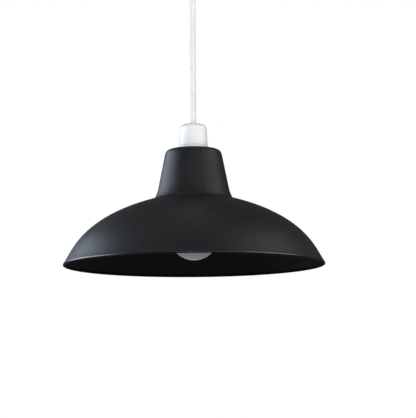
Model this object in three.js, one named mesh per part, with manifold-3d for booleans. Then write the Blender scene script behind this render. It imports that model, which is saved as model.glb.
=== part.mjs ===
// Pendant ceiling light: ceiling rose, white flex, bayonet lampholder, spun steel shade and LED lamp.
// Millimetres, +Z up. The origin is the centre of the rose's back face, on the ceiling, and the
// whole light hangs below it on the Z axis.
import * as THREE from "three";
import { mergeVertices } from "three/addons/utils/BufferGeometryUtils.js";
import Module from "manifold-3d";

const wasm = await Module();
wasm.setup();

// ---------------------------------------------------------------- driving dimensions
const TOUCH = 0.3; // gap left between two pieces that touch
const PAST = 1; // how far a cut runs past what it cuts, and a joined piece runs into the other

// Ceiling rose
const ROSE_RADIUS = 41; // cover, at the ceiling
const ROSE_DEPTH = 34; // ceiling to the lip that the flex leaves by
const ROSE_WALL = 2;
const ROSE_SIDE_HEIGHT = 11; // upright part of the cover's side
const ROSE_OUTLET_RADIUS = 8; // outside of the cover's outlet lip
const ROSE_DRAFT = 1; // cover's edge at the ceiling outside the top of its side
const ROSE_FACE_SHARE = 0.62; // share of the radius over which the dome stays nearly flat
const ROSE_FACE_FALL = 1; // rise of that nearly flat part
const ROSE_SHOULDER_SHARE = 0.35; // share of the dome's height at which it turns into the side
const BASE_GAP = 3; // between the backplate's rim and the cover's wall, where the lugs are
const BASE_PLATE = 3.5;
const BASE_RIM_WALL = 2.2;
const BASE_RIM_DEPTH = 9;
const LUG_COUNT = 3;
const LUG_ANGLE = 18; // degrees that one bayonet lug covers
const LUG_THICKNESS = 2;
const LUG_REACH = 1.7; // lug outside the backplate's rim
const FIXING_CENTRES = 51; // between the two fixing slots
const FIXING_SLOT_WIDTH = 4.8;
const FIXING_SLOT_LENGTH = 9;
const CABLE_ENTRY_RADIUS = 7;
const CABLE_ENTRY_OFFSET = 19;
const RIDGE_LENGTH = 42; // moulded ridge that carries the terminals
const RIDGE_WIDTH = 11;
const RIDGE_HEIGHT = 2.5;
const TERMINAL_PITCH = 13;
const TERMINAL_WIDTH = 8;
const TERMINAL_LENGTH = 9;
const TERMINAL_HEIGHT = 8;
const PEG_RADIUS = 2; // pegs that the two cores hook round
const PEG_OFFSET = 9;
const PEG_HEIGHT = 9;

// Flex
const FLEX_RADIUS = 4;
const FLEX_DROP = 169; // outlet lip to the top of the lampholder cap
const FLEX_HOLE_GAP = 0.6; // round the flex in both holes, so that it can lean
const FLEX_TILT_ROOM = 1.5; // between the hanging flex and the ends fixed in the rose and the cap
const FLEX_TAIL = 6; // sheathed length fixed inside the rose and inside the cap
const CORE_RADIUS = 1.2;
const CORE_SPREAD = 1.6; // each core's distance from the middle where it leaves the sheath
const CORE_START = 2; // straight length out of the sheath in the rose
const CORE_LOOP = 3; // how far past the pegs a core swings out

// Lampholder
const CAP_HEIGHT = 26.7;
const CAP_STEP = 0.1; // flange outside the cap's foot
const CAP_TAPER = 1.1; // foot wider than the top of its side
const CAP_SHOULDER_WIDTH = 8; // rounding between its side and its top
const CAP_SHOULDER_HEIGHT = 5.2;
const CAP_CROWN = 0.9; // rise of the top towards the flex hole
const CAP_WALL = 2;
const FLANGE_REACH = 2.3; // flange outside the barrel
const FLANGE_THICKNESS = 3.7;
const SPIGOT_HEIGHT = 4.5; // threaded top of the body, inside the cap
const THREAD_GAP = 0.4;
const BARREL_LENGTH = 28; // shade plate to the mouth
const BARREL_SKIN = 1; // wall left outside the bayonet slots
const BORE_GAP = 0.5; // round the lamp's cap
const POST_SPACING = 11.2; // between the two plungers
const POST_RADIUS = 3.4;
const POST_STAND = 5.5; // post above the terminal block
const PLUNGER_RADIUS = 2;
const PLUNGER_LENGTH = 8.7;
const PLUNGER_REACH = 5; // terminal block down to the lamp's contacts
const PUSH_TRAVEL = 2.5; // how far a lamp pushes the plungers up before it turns free
const SPRING_LENGTH = 6.4; // with the lamp locked in place
const SPRING_TURNS = 5;
const SPRING_WIRE_RADIUS = 0.28;
const SPRING_STEPS = 8; // steps in each turn
const SCREW_RADIUS = 1.3;
const SCREW_HEAD_RADIUS = 2.2;
const SCREW_HEAD_HEIGHT = 1.8;
const SCREW_TOP_WALL = 0.5; // post above the screw's hole

// Shade and what clamps it
const SHADE_RADIUS = 150;
const SHADE_HEIGHT = 135;
const SHADE_WALL = 1;
const RIM_BEAD_RADIUS = 1.3; // rolled edge at the rim
const RIM_BEAD_STEP = 0.4; // rolled edge outside the dome's skin
const RIM_BEAD_RISE = 1; // middle of the rolled edge up to where the dome's skin starts
const NECK_TOP_RADIUS = 31.9;
const NECK_FOOT_RADIUS = 41;
const NECK_HEIGHT = 46;
const NECK_TOP_ROUND = 6.3;
const NECK_FILLET_RISE = 11.7; // foot of the neck above the edge of the dome
const NECK_FILLET_SPREAD = 4.9; // edge of the dome outside the foot of the neck
const SHADE_HOLE_RADIUS = 20;
const LIP_REACH = 3.5; // reducer's lip, past the hole, under the shade plate
const LIP_THICKNESS = 1.2;
const RING_WALL = 3.8;
const RING_HEIGHT = 9;
const RING_FLANGE_REACH = 2.4;
const RING_FLANGE_THICKNESS = 2.4;

// Lamp
const CONTACT_DEPTH = 14; // shade plate down to the lamp's contacts
const LAMP_LENGTH = 114;
const LAMP_RADIUS = 28.6;
const LAMP_CAP_RADIUS = 11;
const LAMP_CAP_LENGTH = 24;
const LAMP_CAP_WALL = 0.6;
const LAMP_CAP_FLARE = 0.7; // foot of the metal cap outside its side
const LAMP_CAP_FLARE_HEIGHT = 1.5;
const LAMP_CAP_CHAMFER = 0.8;
const LAMP_CAP_LIP = 1; // top edge turned in over the insulator
const LAMP_CAP_LIP_DEPTH = 1.4;
const PIN_RADIUS = 1;
const PIN_STAND = 2.2; // bayonet pin outside the cap
const PIN_DROP = 6.8; // contacts down to the pins
const TWIST_ANGLE = 20; // degrees from locked to free
const CONTACT_RADIUS = 2.6;
const CONTACT_THICKNESS = 0.6;
const INSULATOR_THICKNESS = 3.6;
const INSULATOR_STEP = 1.4; // raised middle inside the disc's edge
const INSULATOR_DRAFT = 0.4;
const HOUSING_WALL = 1.6;
const HOUSING_STEP = 2.4; // housing outside the cap where the two meet
const DIFFUSER_WALL = 1.5;
const DIFFUSER_EDGE_ANGLE = 30; // degrees above the widest circle where it meets the housing
const BOARD_THICKNESS = 1.6;
const BOARD_INSET = 2.5; // board inside the housing's mouth, because the housing narrows above it
const LED_COUNT = 9;
const LED_SIZE = 2.8;
const LED_HEIGHT = 0.8;
const LED_RING_RADIUS = 14.5;
const DRIVER_STAND = 3; // LED board up to the driver board
const DRIVER_WIDTH = 17;
const DRIVER_LENGTH = 30;
const CAPACITOR_RADIUS = 4;
const CAPACITOR_LENGTH = 12;
const CAPACITOR_STAND = 4; // foot of the driver board up to the capacitor
const LEAD_RADIUS = 0.7;
const LEAD_SPREAD = 3; // each lead's distance from the middle at its two ends
const LEAD_BOW = 1;

// Facets round each kind of piece
const SHADE_SIDES = 48;
const ROUND_SIDES = 24;
const SMALL_SIDES = 12;
const CORD_SIDES = 10;
const WIRE_SIDES = 6;
const LEAD_SIDES = 5;
const LUG_STEPS = 4; // steps along a lug or an entry slot
const LEG_STEPS = 6; // steps along the turning part of a bayonet slot

// ---------------------------------------------------------------- places and fits that follow from them
const outletZ = -ROSE_DEPTH;
const capTopZ = outletZ - FLEX_DROP;
const flangeTopZ = capTopZ - CAP_HEIGHT - TOUCH;
const flangeFootZ = flangeTopZ - FLANGE_THICKNESS;
const seatZ = flangeFootZ - TOUCH; // top face of the shade's plate
const rimZ = seatZ - SHADE_HEIGHT;
const mouthZ = seatZ - BARREL_LENGTH;
const contactZ = seatZ - CONTACT_DEPTH;
const pinZ = contactZ - PIN_DROP;
const blockFootZ = contactZ + PLUNGER_REACH;
const blockTopZ = flangeTopZ + SPIGOT_HEIGHT;
const postTopZ = blockTopZ + POST_STAND;
const plungerTopZ = contactZ + TOUCH + PLUNGER_LENGTH;
const postBoreTopZ = plungerTopZ + SPRING_LENGTH + 2 * TOUCH;
const postBoreRadius = PLUNGER_RADIUS + TOUCH;
const wireHoleRadius = CORE_RADIUS + TOUCH;
const holeRadius = FLEX_RADIUS + FLEX_HOLE_GAP;
const baseRadius = ROSE_RADIUS - ROSE_WALL - BASE_GAP;
const pinReach = LAMP_CAP_RADIUS + PIN_STAND; // axis to the end of a bayonet pin
const boreRadius = LAMP_CAP_RADIUS + BORE_GAP;
const barrelRadius = pinReach + TOUCH + BARREL_SKIN;
const flangeRadius = barrelRadius + FLANGE_REACH;
const capFootRadius = flangeRadius - CAP_STEP;

const radians = THREE.MathUtils.degToRad;

// ---------------------------------------------------------------- shape helpers
// A solid of revolution about Z from [radius, z] points, which close on themselves or on the axis.
function turned(points, sides = ROUND_SIDES) {
  const outline = points.map(([r, z]) => new THREE.Vector2(Math.max(r, 0), z));
  const onAxis = outline[0].x === 0 && outline.at(-1).x === 0;
  const loop = onAxis ? outline : [...outline, outline[0].clone()];
  if (THREE.ShapeUtils.area(loop) < 0) loop.reverse();
  return new THREE.LatheGeometry(loop, sides).rotateX(Math.PI / 2);
}

// The same outline moved inwards by a wall, for a shell whose points run up its outside.
function inset(points, wall) {
  return points.map(([r, z], i) => {
    const before = points[Math.max(i - 1, 0)];
    const after = points[Math.min(i + 1, points.length - 1)];
    const into = new THREE.Vector2(r - before[0], z - before[1]).normalize();
    const out = new THREE.Vector2(after[0] - r, after[1] - z).normalize();
    const along = into.clone().add(out).normalize();
    const straight = into.lengthSq() > 0 ? into : out;
    const share = Math.max(along.dot(straight), 0.5);
    return [r - (along.y * wall) / share, z + (along.x * wall) / share];
  });
}

// Points of an arc in the [radius, z] plane, from one angle to another in degrees.
function arc(centreR, centreZ, radius, from, to, steps) {
  return Array.from({ length: steps + 1 }, (_, i) => {
    const angle = radians(from + ((to - from) * i) / steps);
    return [centreR + radius * Math.cos(angle), centreZ + radius * Math.sin(angle)];
  });
}

// Points of a Bezier curve in the [radius, z] plane, with two or one handles between its ends.
function bend(points, steps) {
  const [a, b, c, d] = points.map(([r, z]) => new THREE.Vector2(r, z));
  const curve = d ? new THREE.CubicBezierCurve(a, b, c, d) : new THREE.QuadraticBezierCurve(a, b, c);
  return curve.getPoints(steps).map((p) => [p.x, p.y]);
}

// An upright solid from a flat outline and its holes, between two heights.
function upright(outline, footZ, topZ, sides = SMALL_SIDES) {
  const settings = { depth: topZ - footZ, bevelEnabled: false, curveSegments: sides };
  return new THREE.ExtrudeGeometry(outline, settings).translate(0, 0, footZ);
}

function circle(x, y, radius, sides = SMALL_SIDES) {
  const corner = (_, i) => {
    const angle = (2 * Math.PI * i) / sides;
    return new THREE.Vector2(x + radius * Math.cos(angle), y + radius * Math.sin(angle));
  };
  return new THREE.Shape(Array.from({ length: sides }, corner));
}

// Part of a ring about the Z axis, between two angles in degrees.
function sector(innerRadius, outerRadius, from, to) {
  const shape = new THREE.Shape();
  shape.absarc(0, 0, outerRadius, radians(from), radians(to), false);
  shape.absarc(0, 0, innerRadius, radians(to), radians(from), true);
  return shape;
}

// A tube of round section along a curve.
function tube(curve, radius, steps, sides = WIRE_SIDES) {
  const settings = { steps, extrudePath: curve, bevelEnabled: false };
  return new THREE.ExtrudeGeometry(circle(0, 0, radius, sides), settings);
}

function smooth(points) {
  return new THREE.CatmullRomCurve3(points.map((p) => new THREE.Vector3(...p)));
}

// A round bar along X, from one x to another.
function barAlongX(radius, fromX, toX, y, z, sides = SMALL_SIDES) {
  return new THREE.CylinderGeometry(radius, radius, Math.abs(toX - fromX), sides)
    .rotateZ(Math.PI / 2)
    .translate((fromX + toX) / 2, y, z);
}

// The same along Y, from one y to another.
function barAlongY(radius, fromY, toY, x, z, sides = SMALL_SIDES) {
  const length = Math.abs(toY - fromY);
  return new THREE.CylinderGeometry(radius, radius, length, sides).translate(x, (fromY + toY) / 2, z);
}

function box(width, length, height, x, y, footZ) {
  return new THREE.BoxGeometry(width, length, height).translate(x, y, footZ + height / 2);
}

// ---------------------------------------------------------------- joining and cutting
function solid(geometry) {
  const bare = geometry.clone();
  bare.deleteAttribute("normal");
  bare.deleteAttribute("uv");
  const merged = mergeVertices(bare, 1e-4);
  return new wasm.Manifold(
    new wasm.Mesh({
      numProp: 3,
      vertProperties: merged.attributes.position.array,
      triVerts: new Uint32Array(merged.index.array),
    }),
  );
}

function joined(...geometries) {
  return geometries.map(solid).reduce((whole, piece) => whole.add(piece));
}

function cut(whole, ...tools) {
  return tools.map(solid).reduce((rest, tool) => rest.subtract(tool), whole);
}

function geometryOf(made) {
  const mesh = made.getMesh();
  const geometry = new THREE.BufferGeometry();
  geometry.setAttribute("position", new THREE.BufferAttribute(new Float32Array(mesh.vertProperties), 3));
  geometry.setIndex(new THREE.BufferAttribute(new Uint32Array(mesh.triVerts), 1));
  geometry.computeVertexNormals();
  return geometry;
}

// ---------------------------------------------------------------- materials
const finishes = {
  blackPaint: { color: "#232427", roughness: 0.5, metalness: 0 },
  whiteResin: { color: "#f1f0ec", roughness: 0.4, metalness: 0 },
  blackResin: { color: "#1c1c1d", roughness: 0.45, metalness: 0 },
  flexSheath: { color: "#eeede9", roughness: 0.55, metalness: 0 },
  brownCore: { color: "#5d3a22", roughness: 0.5, metalness: 0 },
  blueCore: { color: "#2a5fa8", roughness: 0.5, metalness: 0 },
  brass: { color: "#c9a24b", roughness: 0.35, metalness: 1 },
  zincSteel: { color: "#c3c6c9", roughness: 0.35, metalness: 1 },
  tinnedLead: { color: "#a9adb0", roughness: 0.45, metalness: 1 },
  aluminium: { color: "#d2d4d6", roughness: 0.35, metalness: 1 },
  opal: { color: "#e6e5e0", roughness: 0.4, metalness: 0 },
  lampPlastic: { color: "#eceae4", roughness: 0.45, metalness: 0 },
  circuitBoard: { color: "#d9dccf", roughness: 0.5, metalness: 0 },
};

const light = new THREE.Group();

function add(name, geometry, finish, group = light) {
  const mesh = new THREE.Mesh(geometry, new THREE.MeshStandardMaterial(finishes[finish]));
  mesh.name = name;
  group.add(mesh);
}

// ---------------------------------------------------------------- ceiling rose
const lugRootZ = -BASE_RIM_DEPTH + LUG_THICKNESS;
const terminalTopZ = -BASE_PLATE - RIDGE_HEIGHT - TOUCH;
const terminalFootZ = terminalTopZ - TERMINAL_HEIGHT;
const terminalHoleZ = terminalTopZ - TERMINAL_HEIGHT / 2;
const poles = { live: -TERMINAL_PITCH, loop: 0, neutral: TERMINAL_PITCH };

// Backplate with a rim, bayonet lugs, terminal ridge, core pegs, cable entry and two fixing slots.
function roseBase() {
  const innerRim = baseRadius - BASE_RIM_WALL;
  const plate = turned([
    [0, -BASE_PLATE],
    [innerRim, -BASE_PLATE],
    [innerRim, -BASE_RIM_DEPTH],
    [baseRadius, -BASE_RIM_DEPTH],
    [baseRadius, -TOUCH],
    [baseRadius - TOUCH, 0],
    [0, 0],
  ]);
  const ridge = box(RIDGE_LENGTH, RIDGE_WIDTH, RIDGE_HEIGHT + PAST, 0, 0, -BASE_PLATE - RIDGE_HEIGHT);
  const pegs = [-PEG_OFFSET, PEG_OFFSET].map((x) =>
    upright(circle(x, -PEG_OFFSET, PEG_RADIUS), -BASE_PLATE - PEG_HEIGHT, -BASE_PLATE + PAST),
  );
  const lugs = Array.from({ length: LUG_COUNT }, (_, i) => {
    const middle = (360 / LUG_COUNT) * i + 90;
    const outerLug = baseRadius + LUG_REACH;
    const shape = sector(innerRim + PAST, outerLug, middle - LUG_ANGLE / 2, middle + LUG_ANGLE / 2);
    return upright(shape, -BASE_RIM_DEPTH, lugRootZ, LUG_STEPS);
  });
  const slots = [-1, 1].map((side) => {
    const x = (side * FIXING_CENTRES) / 2;
    return box(FIXING_SLOT_WIDTH, FIXING_SLOT_LENGTH, BASE_PLATE + 2 * PAST, x, 0, -BASE_PLATE - PAST);
  });
  const entry = upright(circle(0, CABLE_ENTRY_OFFSET, CABLE_ENTRY_RADIUS), -BASE_PLATE - PAST, PAST);
  return geometryOf(cut(joined(plate, ridge, ...pegs, ...lugs), ...slots, entry));
}

// Domed cover: upright side, dome, outlet lip, and lugs that sit above the base's lugs.
function roseCover() {
  const outer = [
    ...bend(
      [
        [ROSE_OUTLET_RADIUS, outletZ],
        [ROSE_RADIUS * ROSE_FACE_SHARE, outletZ + ROSE_FACE_FALL],
        [ROSE_RADIUS - 2 * ROSE_DRAFT, outletZ + (ROSE_DEPTH - ROSE_SIDE_HEIGHT) * ROSE_SHOULDER_SHARE],
        [ROSE_RADIUS - ROSE_DRAFT, -ROSE_SIDE_HEIGHT],
      ],
      7,
    ),
    [ROSE_RADIUS, -TOUCH],
  ];
  const inner = inset(outer, ROSE_WALL);
  inner[inner.length - 1] = [ROSE_RADIUS - ROSE_WALL, -TOUCH];
  inner[0] = [holeRadius, outletZ + ROSE_WALL];
  const shell = turned([[holeRadius, outletZ], ...outer, ...inner.reverse()]);
  const lugInside = baseRadius + TOUCH;
  const lugOutside = ROSE_RADIUS - ROSE_WALL + PAST;
  const lugTopZ = lugRootZ + TOUCH + LUG_THICKNESS;
  const lugs = Array.from({ length: LUG_COUNT }, (_, i) => {
    const middle = (360 / LUG_COUNT) * i + 90;
    const shape = sector(lugInside, lugOutside, middle - LUG_ANGLE / 2, middle + LUG_ANGLE / 2);
    return upright(shape, lugRootZ + TOUCH, lugTopZ, LUG_STEPS);
  });
  return geometryOf(joined(shell, ...lugs));
}

// Brass block with a wire hole along Y and a clamping screw hole from below.
function roseTerminal(x) {
  const block = solid(box(TERMINAL_WIDTH, TERMINAL_LENGTH, TERMINAL_HEIGHT, x, 0, terminalFootZ));
  const wireHole = barAlongY(wireHoleRadius, -TERMINAL_LENGTH, TERMINAL_LENGTH, x, terminalHoleZ);
  const screwHole = upright(circle(x, 0, SCREW_RADIUS + TOUCH), terminalFootZ - PAST, terminalHoleZ);
  return geometryOf(cut(block, wireHole, screwHole));
}

// Cheese-headed screw along Z, with its head down.
function roseScrew(x) {
  const tipZ = terminalHoleZ - CORE_RADIUS - TOUCH;
  const headTopZ = terminalFootZ - TOUCH;
  return turned(
    [
      [0, tipZ],
      [SCREW_RADIUS, tipZ],
      [SCREW_RADIUS, headTopZ],
      [SCREW_HEAD_RADIUS, headTopZ],
      [SCREW_HEAD_RADIUS, headTopZ - SCREW_HEAD_HEIGHT],
      [0, headTopZ - SCREW_HEAD_HEIGHT],
    ],
    SMALL_SIDES,
  ).translate(x, 0, 0);
}

// One insulated core from the end of the sheath, round its peg, into its terminal. Its route is drawn by
// hand between those places.
function roseCore(side) {
  const sheathEndZ = outletZ + FLEX_TILT_ROOM + FLEX_TAIL + TOUCH;
  const pegSide = PEG_OFFSET + PEG_RADIUS + CORE_RADIUS + 2 * TOUCH;
  const pegFrontY = -PEG_OFFSET - PEG_RADIUS;
  const x = side * TERMINAL_PITCH;
  return tube(
    smooth([
      [side * CORE_SPREAD, 0, sheathEndZ],
      [side * CORE_SPREAD, 0, sheathEndZ + CORE_START],
      [side * (PEG_OFFSET - PEG_RADIUS), pegFrontY - CORE_LOOP, terminalFootZ - 1],
      [side * pegSide, pegFrontY - 1, terminalHoleZ],
      [x, -TERMINAL_LENGTH / 2 - 1, terminalHoleZ],
      [x, TERMINAL_LENGTH / 2 - 1, terminalHoleZ],
    ]),
    CORE_RADIUS,
    12,
  );
}

add("rose_base", roseBase(), "whiteResin");
add("rose_cover", roseCover(), "whiteResin");
for (const [pole, x] of Object.entries(poles)) {
  add(`rose_terminal_${pole}`, roseTerminal(x), "brass");
  add(`rose_terminal_screw_${pole}`, roseScrew(x), "brass");
}
add("rose_core_live", roseCore(-1), "brownCore");
add("rose_core_neutral", roseCore(1), "blueCore");

// ---------------------------------------------------------------- flex
function straight(fromZ, toZ) {
  return new THREE.LineCurve3(new THREE.Vector3(0, 0, fromZ), new THREE.Vector3(0, 0, toZ));
}

const flexSteps = Math.ceil(FLEX_DROP / (2.5 * 2 * FLEX_RADIUS));
const flexCurve = straight(outletZ - TOUCH, capTopZ + TOUCH);
const tailTopZ = outletZ + FLEX_TILT_ROOM;
const tailBottomZ = capTopZ - FLEX_TILT_ROOM;
add("flex", tube(flexCurve, FLEX_RADIUS, flexSteps, CORD_SIDES), "flexSheath");
for (const [place, footZ] of [["rose", tailTopZ], ["lampholder", tailBottomZ - FLEX_TAIL]]) {
  const end = tube(straight(footZ + FLEX_TAIL, footZ), FLEX_RADIUS, 1, CORD_SIDES);
  add(`flex_end_${place}`, end, "flexSheath");
}

// ---------------------------------------------------------------- lampholder
const spigotRadius = capFootRadius - CAP_WALL - THREAD_GAP;

// Screw-on cap: slightly tapered side, long rounded shoulder, low crown with the flex hole.
function lampholderCap() {
  const shoulder = arc(0, 0, 1, 0, 90, 4).map(([across, up]) => [
    capFootRadius - CAP_TAPER - CAP_SHOULDER_WIDTH * (1 - across),
    capTopZ - CAP_CROWN - CAP_SHOULDER_HEIGHT * (1 - up),
  ]);
  const outer = [[capFootRadius, capTopZ - CAP_HEIGHT], ...shoulder, [holeRadius, capTopZ]];
  const inner = inset(outer, CAP_WALL);
  inner[0] = [capFootRadius - CAP_WALL, capTopZ - CAP_HEIGHT];
  inner[inner.length - 1] = [holeRadius, capTopZ - CAP_WALL];
  return turned([...outer, ...inner.reverse()]);
}

// Body: threaded barrel with two bayonet slots in its bore, clamping flange and threaded spigot.
function lampholderBody() {
  const body = turned([
    [boreRadius, mouthZ],
    [barrelRadius, mouthZ],
    [barrelRadius, flangeFootZ],
    [flangeRadius, flangeFootZ],
    [flangeRadius, flangeTopZ],
    [spigotRadius, flangeTopZ],
    [spigotRadius, blockTopZ],
    [boreRadius, blockTopZ],
  ]);
  const grooveRadius = pinReach + TOUCH;
  const halfWidth = THREE.MathUtils.radToDeg((PIN_RADIUS + TOUCH) / boreRadius);
  const legFootZ = pinZ - PIN_RADIUS - TOUCH;
  const legTopZ = pinZ + PIN_RADIUS + PUSH_TRAVEL + TOUCH;
  const grooves = [90, 270].flatMap((locked) => {
    const free = locked - TWIST_ANGLE;
    const entry = sector(boreRadius - PAST, grooveRadius, free - halfWidth, free + halfWidth);
    const leg = sector(boreRadius - PAST, grooveRadius, free - halfWidth, locked + halfWidth);
    return [
      upright(entry, mouthZ - PAST, legTopZ, LUG_STEPS),
      upright(leg, legFootZ, legTopZ, LEG_STEPS),
    ];
  });
  return geometryOf(cut(solid(body), ...grooves));
}

// Insulating block across the bore, with a hole for each post.
function terminalBlock() {
  const outline = circle(0, 0, boreRadius - TOUCH, ROUND_SIDES);
  for (const side of [-1, 1]) {
    outline.holes.push(circle((side * POST_SPACING) / 2, 0, POST_RADIUS + TOUCH));
  }
  return upright(outline, blockFootZ, blockTopZ);
}

const screwZ = postTopZ - SCREW_HEAD_RADIUS - TOUCH - SCREW_TOP_WALL;

// Brass post: plunger bore from below, wire hole from above, screw hole from its outer side.
function terminalPost(side) {
  const x = (side * POST_SPACING) / 2;
  const post = turned(
    [
      [0, postBoreTopZ],
      [postBoreRadius, postBoreTopZ],
      [postBoreRadius, blockFootZ],
      [POST_RADIUS, blockFootZ],
      [POST_RADIUS, postTopZ],
      [wireHoleRadius, postTopZ],
      [wireHoleRadius, blockTopZ - TOUCH],
      [0, blockTopZ - TOUCH],
    ],
    SMALL_SIDES,
  ).translate(x, 0, 0);
  const screwHole = barAlongX(SCREW_RADIUS + TOUCH, x, x + side * (POST_RADIUS + PAST), 0, screwZ);
  return geometryOf(cut(solid(post), screwHole));
}

function terminalScrew(side) {
  const postX = POST_SPACING / 2;
  const tipX = side * (postX + CORE_RADIUS + TOUCH);
  const headX = side * (postX + POST_RADIUS + TOUCH);
  const endX = headX + side * SCREW_HEAD_HEIGHT;
  const shank = barAlongX(SCREW_RADIUS, tipX, headX + side * SCREW_TOP_WALL, 0, screwZ);
  const head = barAlongX(SCREW_HEAD_RADIUS, headX, endX, 0, screwZ);
  return geometryOf(joined(shank, head));
}

// One core from the end of the sheath down into its post.
function lampholderCore(side) {
  const sheathEndZ = tailBottomZ - FLEX_TAIL - TOUCH;
  const x = (side * POST_SPACING) / 2;
  return tube(
    smooth([
      [side * CORE_SPREAD, 0, sheathEndZ],
      [side * CORE_SPREAD, 0, sheathEndZ - 1.5],
      [x, 0, postTopZ + 2],
      [x, 0, blockTopZ + 1],
    ]),
    CORE_RADIUS,
    8,
  );
}

// Plunger with a rounded tip that bears on a lamp contact.
function plunger(side) {
  const tip = arc(0, contactZ + TOUCH + PLUNGER_RADIUS, PLUNGER_RADIUS, -90, 0, 3);
  tip[0][0] = 0;
  return turned([...tip, [PLUNGER_RADIUS, plungerTopZ], [0, plungerTopZ]], SMALL_SIDES).translate(
    (side * POST_SPACING) / 2,
    0,
    0,
  );
}

// Compression spring above a plunger, inside its post.
class Helix extends THREE.Curve {
  constructor(x, footZ, length, radius, turns) {
    super();
    Object.assign(this, { x, footZ, length, radius, turns });
  }
  getPoint(t) {
    const angle = 2 * Math.PI * this.turns * t;
    const z = this.footZ + this.length * t;
    return new THREE.Vector3(this.x + this.radius * Math.cos(angle), this.radius * Math.sin(angle), z);
  }
}

function plungerSpring(side) {
  const coilRadius = PLUNGER_RADIUS - SPRING_WIRE_RADIUS;
  const footZ = plungerTopZ + TOUCH + SPRING_WIRE_RADIUS;
  const length = SPRING_LENGTH - 2 * SPRING_WIRE_RADIUS;
  const curve = new Helix((side * POST_SPACING) / 2, footZ, length, coilRadius, SPRING_TURNS);
  return tube(curve, SPRING_WIRE_RADIUS, SPRING_TURNS * SPRING_STEPS, LEAD_SIDES);
}

add("lampholder_cap", lampholderCap(), "whiteResin");
add("lampholder_body", lampholderBody(), "whiteResin");
add("terminal_block", terminalBlock(), "whiteResin");
for (const [hand, side] of [["left", -1], ["right", 1]]) {
  add(`terminal_post_${hand}`, terminalPost(side), "brass");
  add(`terminal_screw_${hand}`, terminalScrew(side), "brass");
  add(`plunger_${hand}`, plunger(side), "brass");
  add(`plunger_spring_${hand}`, plungerSpring(side), "zincSteel");
}
add("lampholder_core_live", lampholderCore(-1), "brownCore");
add("lampholder_core_neutral", lampholderCore(1), "blueCore");

// ---------------------------------------------------------------- shade, reducer and shade ring
const RIM_SLOPE = 57.6; // degrees that the dome leans in from the rim
const RIM_PULL = 0.26; // share of the dome's height over which it keeps that slope
const SHOULDER_SLOPE = 15.1; // degrees that the top of the dome still falls away
const SHOULDER_PULL = 0.84; // share of the dome's width over which it keeps that slope
const FILLET_PULL = 0.8; // share of the fillet's rise over which it keeps the neck's slope

function shade() {
  const neckFootZ = seatZ - NECK_HEIGHT;
  const domeTopR = NECK_FOOT_RADIUS + NECK_FILLET_SPREAD;
  const domeTopZ = neckFootZ - NECK_FILLET_RISE;
  const rimPull = RIM_PULL * (domeTopZ - rimZ);
  const shoulderPull = SHOULDER_PULL * (SHADE_RADIUS - domeTopR);
  const [rimSlope, slope] = [RIM_SLOPE, SHOULDER_SLOPE].map((angle) => [
    Math.cos(radians(angle)),
    Math.sin(radians(angle)),
  ]);
  const coneLean = (NECK_FOOT_RADIUS - NECK_TOP_RADIUS) / NECK_HEIGHT;
  const beadZ = rimZ + RIM_BEAD_RADIUS;
  const beadR = SHADE_RADIUS - RIM_BEAD_RADIUS;
  const outer = [
    ...bend(
      [
        [SHADE_RADIUS - RIM_BEAD_STEP, beadZ + RIM_BEAD_RISE],
        [SHADE_RADIUS - rimPull * rimSlope[0], rimZ + rimPull * rimSlope[1]],
        [domeTopR + shoulderPull * slope[0], domeTopZ - shoulderPull * slope[1]],
        [domeTopR, domeTopZ],
      ],
      9,
    ),
    ...bend(
      [
        [domeTopR, domeTopZ],
        [
          NECK_FOOT_RADIUS + coneLean * NECK_FILLET_RISE * FILLET_PULL,
          domeTopZ + NECK_FILLET_SPREAD * slope[1],
        ],
        [NECK_FOOT_RADIUS, neckFootZ],
      ],
      3,
    ).slice(1),
    ...bend(
      [
        [NECK_TOP_RADIUS + coneLean * NECK_TOP_ROUND, seatZ - NECK_TOP_ROUND],
        [NECK_TOP_RADIUS, seatZ],
        [NECK_TOP_RADIUS - NECK_TOP_ROUND, seatZ],
      ],
      3,
    ),
    [SHADE_HOLE_RADIUS, seatZ],
  ];
  const inner = inset(outer, SHADE_WALL);
  inner[inner.length - 1] = [SHADE_HOLE_RADIUS, seatZ - SHADE_WALL];
  const bead = arc(beadR, beadZ, RIM_BEAD_RADIUS, 180, 360, 4);
  return turned([...bead, ...outer, ...inner.reverse()], SHADE_SIDES);
}

const lipTopZ = seatZ - SHADE_WALL - TOUCH;
const ringTopZ = lipTopZ - LIP_THICKNESS - TOUCH;
const ringBore = barrelRadius + TOUCH;

// Reducer: its hub fills the shade's hole, and the shade's plate rests on its lip.
function shadeReducer() {
  const hubRadius = SHADE_HOLE_RADIUS - TOUCH;
  return turned([
    [ringBore, lipTopZ - LIP_THICKNESS],
    [SHADE_HOLE_RADIUS + LIP_REACH, lipTopZ - LIP_THICKNESS],
    [SHADE_HOLE_RADIUS + LIP_REACH, lipTopZ],
    [hubRadius, lipTopZ],
    [hubRadius, seatZ],
    [ringBore, seatZ],
  ]);
}

function shadeRing() {
  const ringRadius = ringBore + RING_WALL;
  return turned([
    [ringBore, ringTopZ - RING_HEIGHT],
    [ringRadius, ringTopZ - RING_HEIGHT],
    [ringRadius, ringTopZ - RING_FLANGE_THICKNESS],
    [ringRadius + RING_FLANGE_REACH, ringTopZ - RING_FLANGE_THICKNESS],
    [ringRadius + RING_FLANGE_REACH, ringTopZ],
    [ringBore, ringTopZ],
  ]);
}

add("shade", shade(), "blackPaint");
add("shade_reducer", shadeReducer(), "blackResin");
add("shade_ring", shadeRing(), "blackResin");

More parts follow.
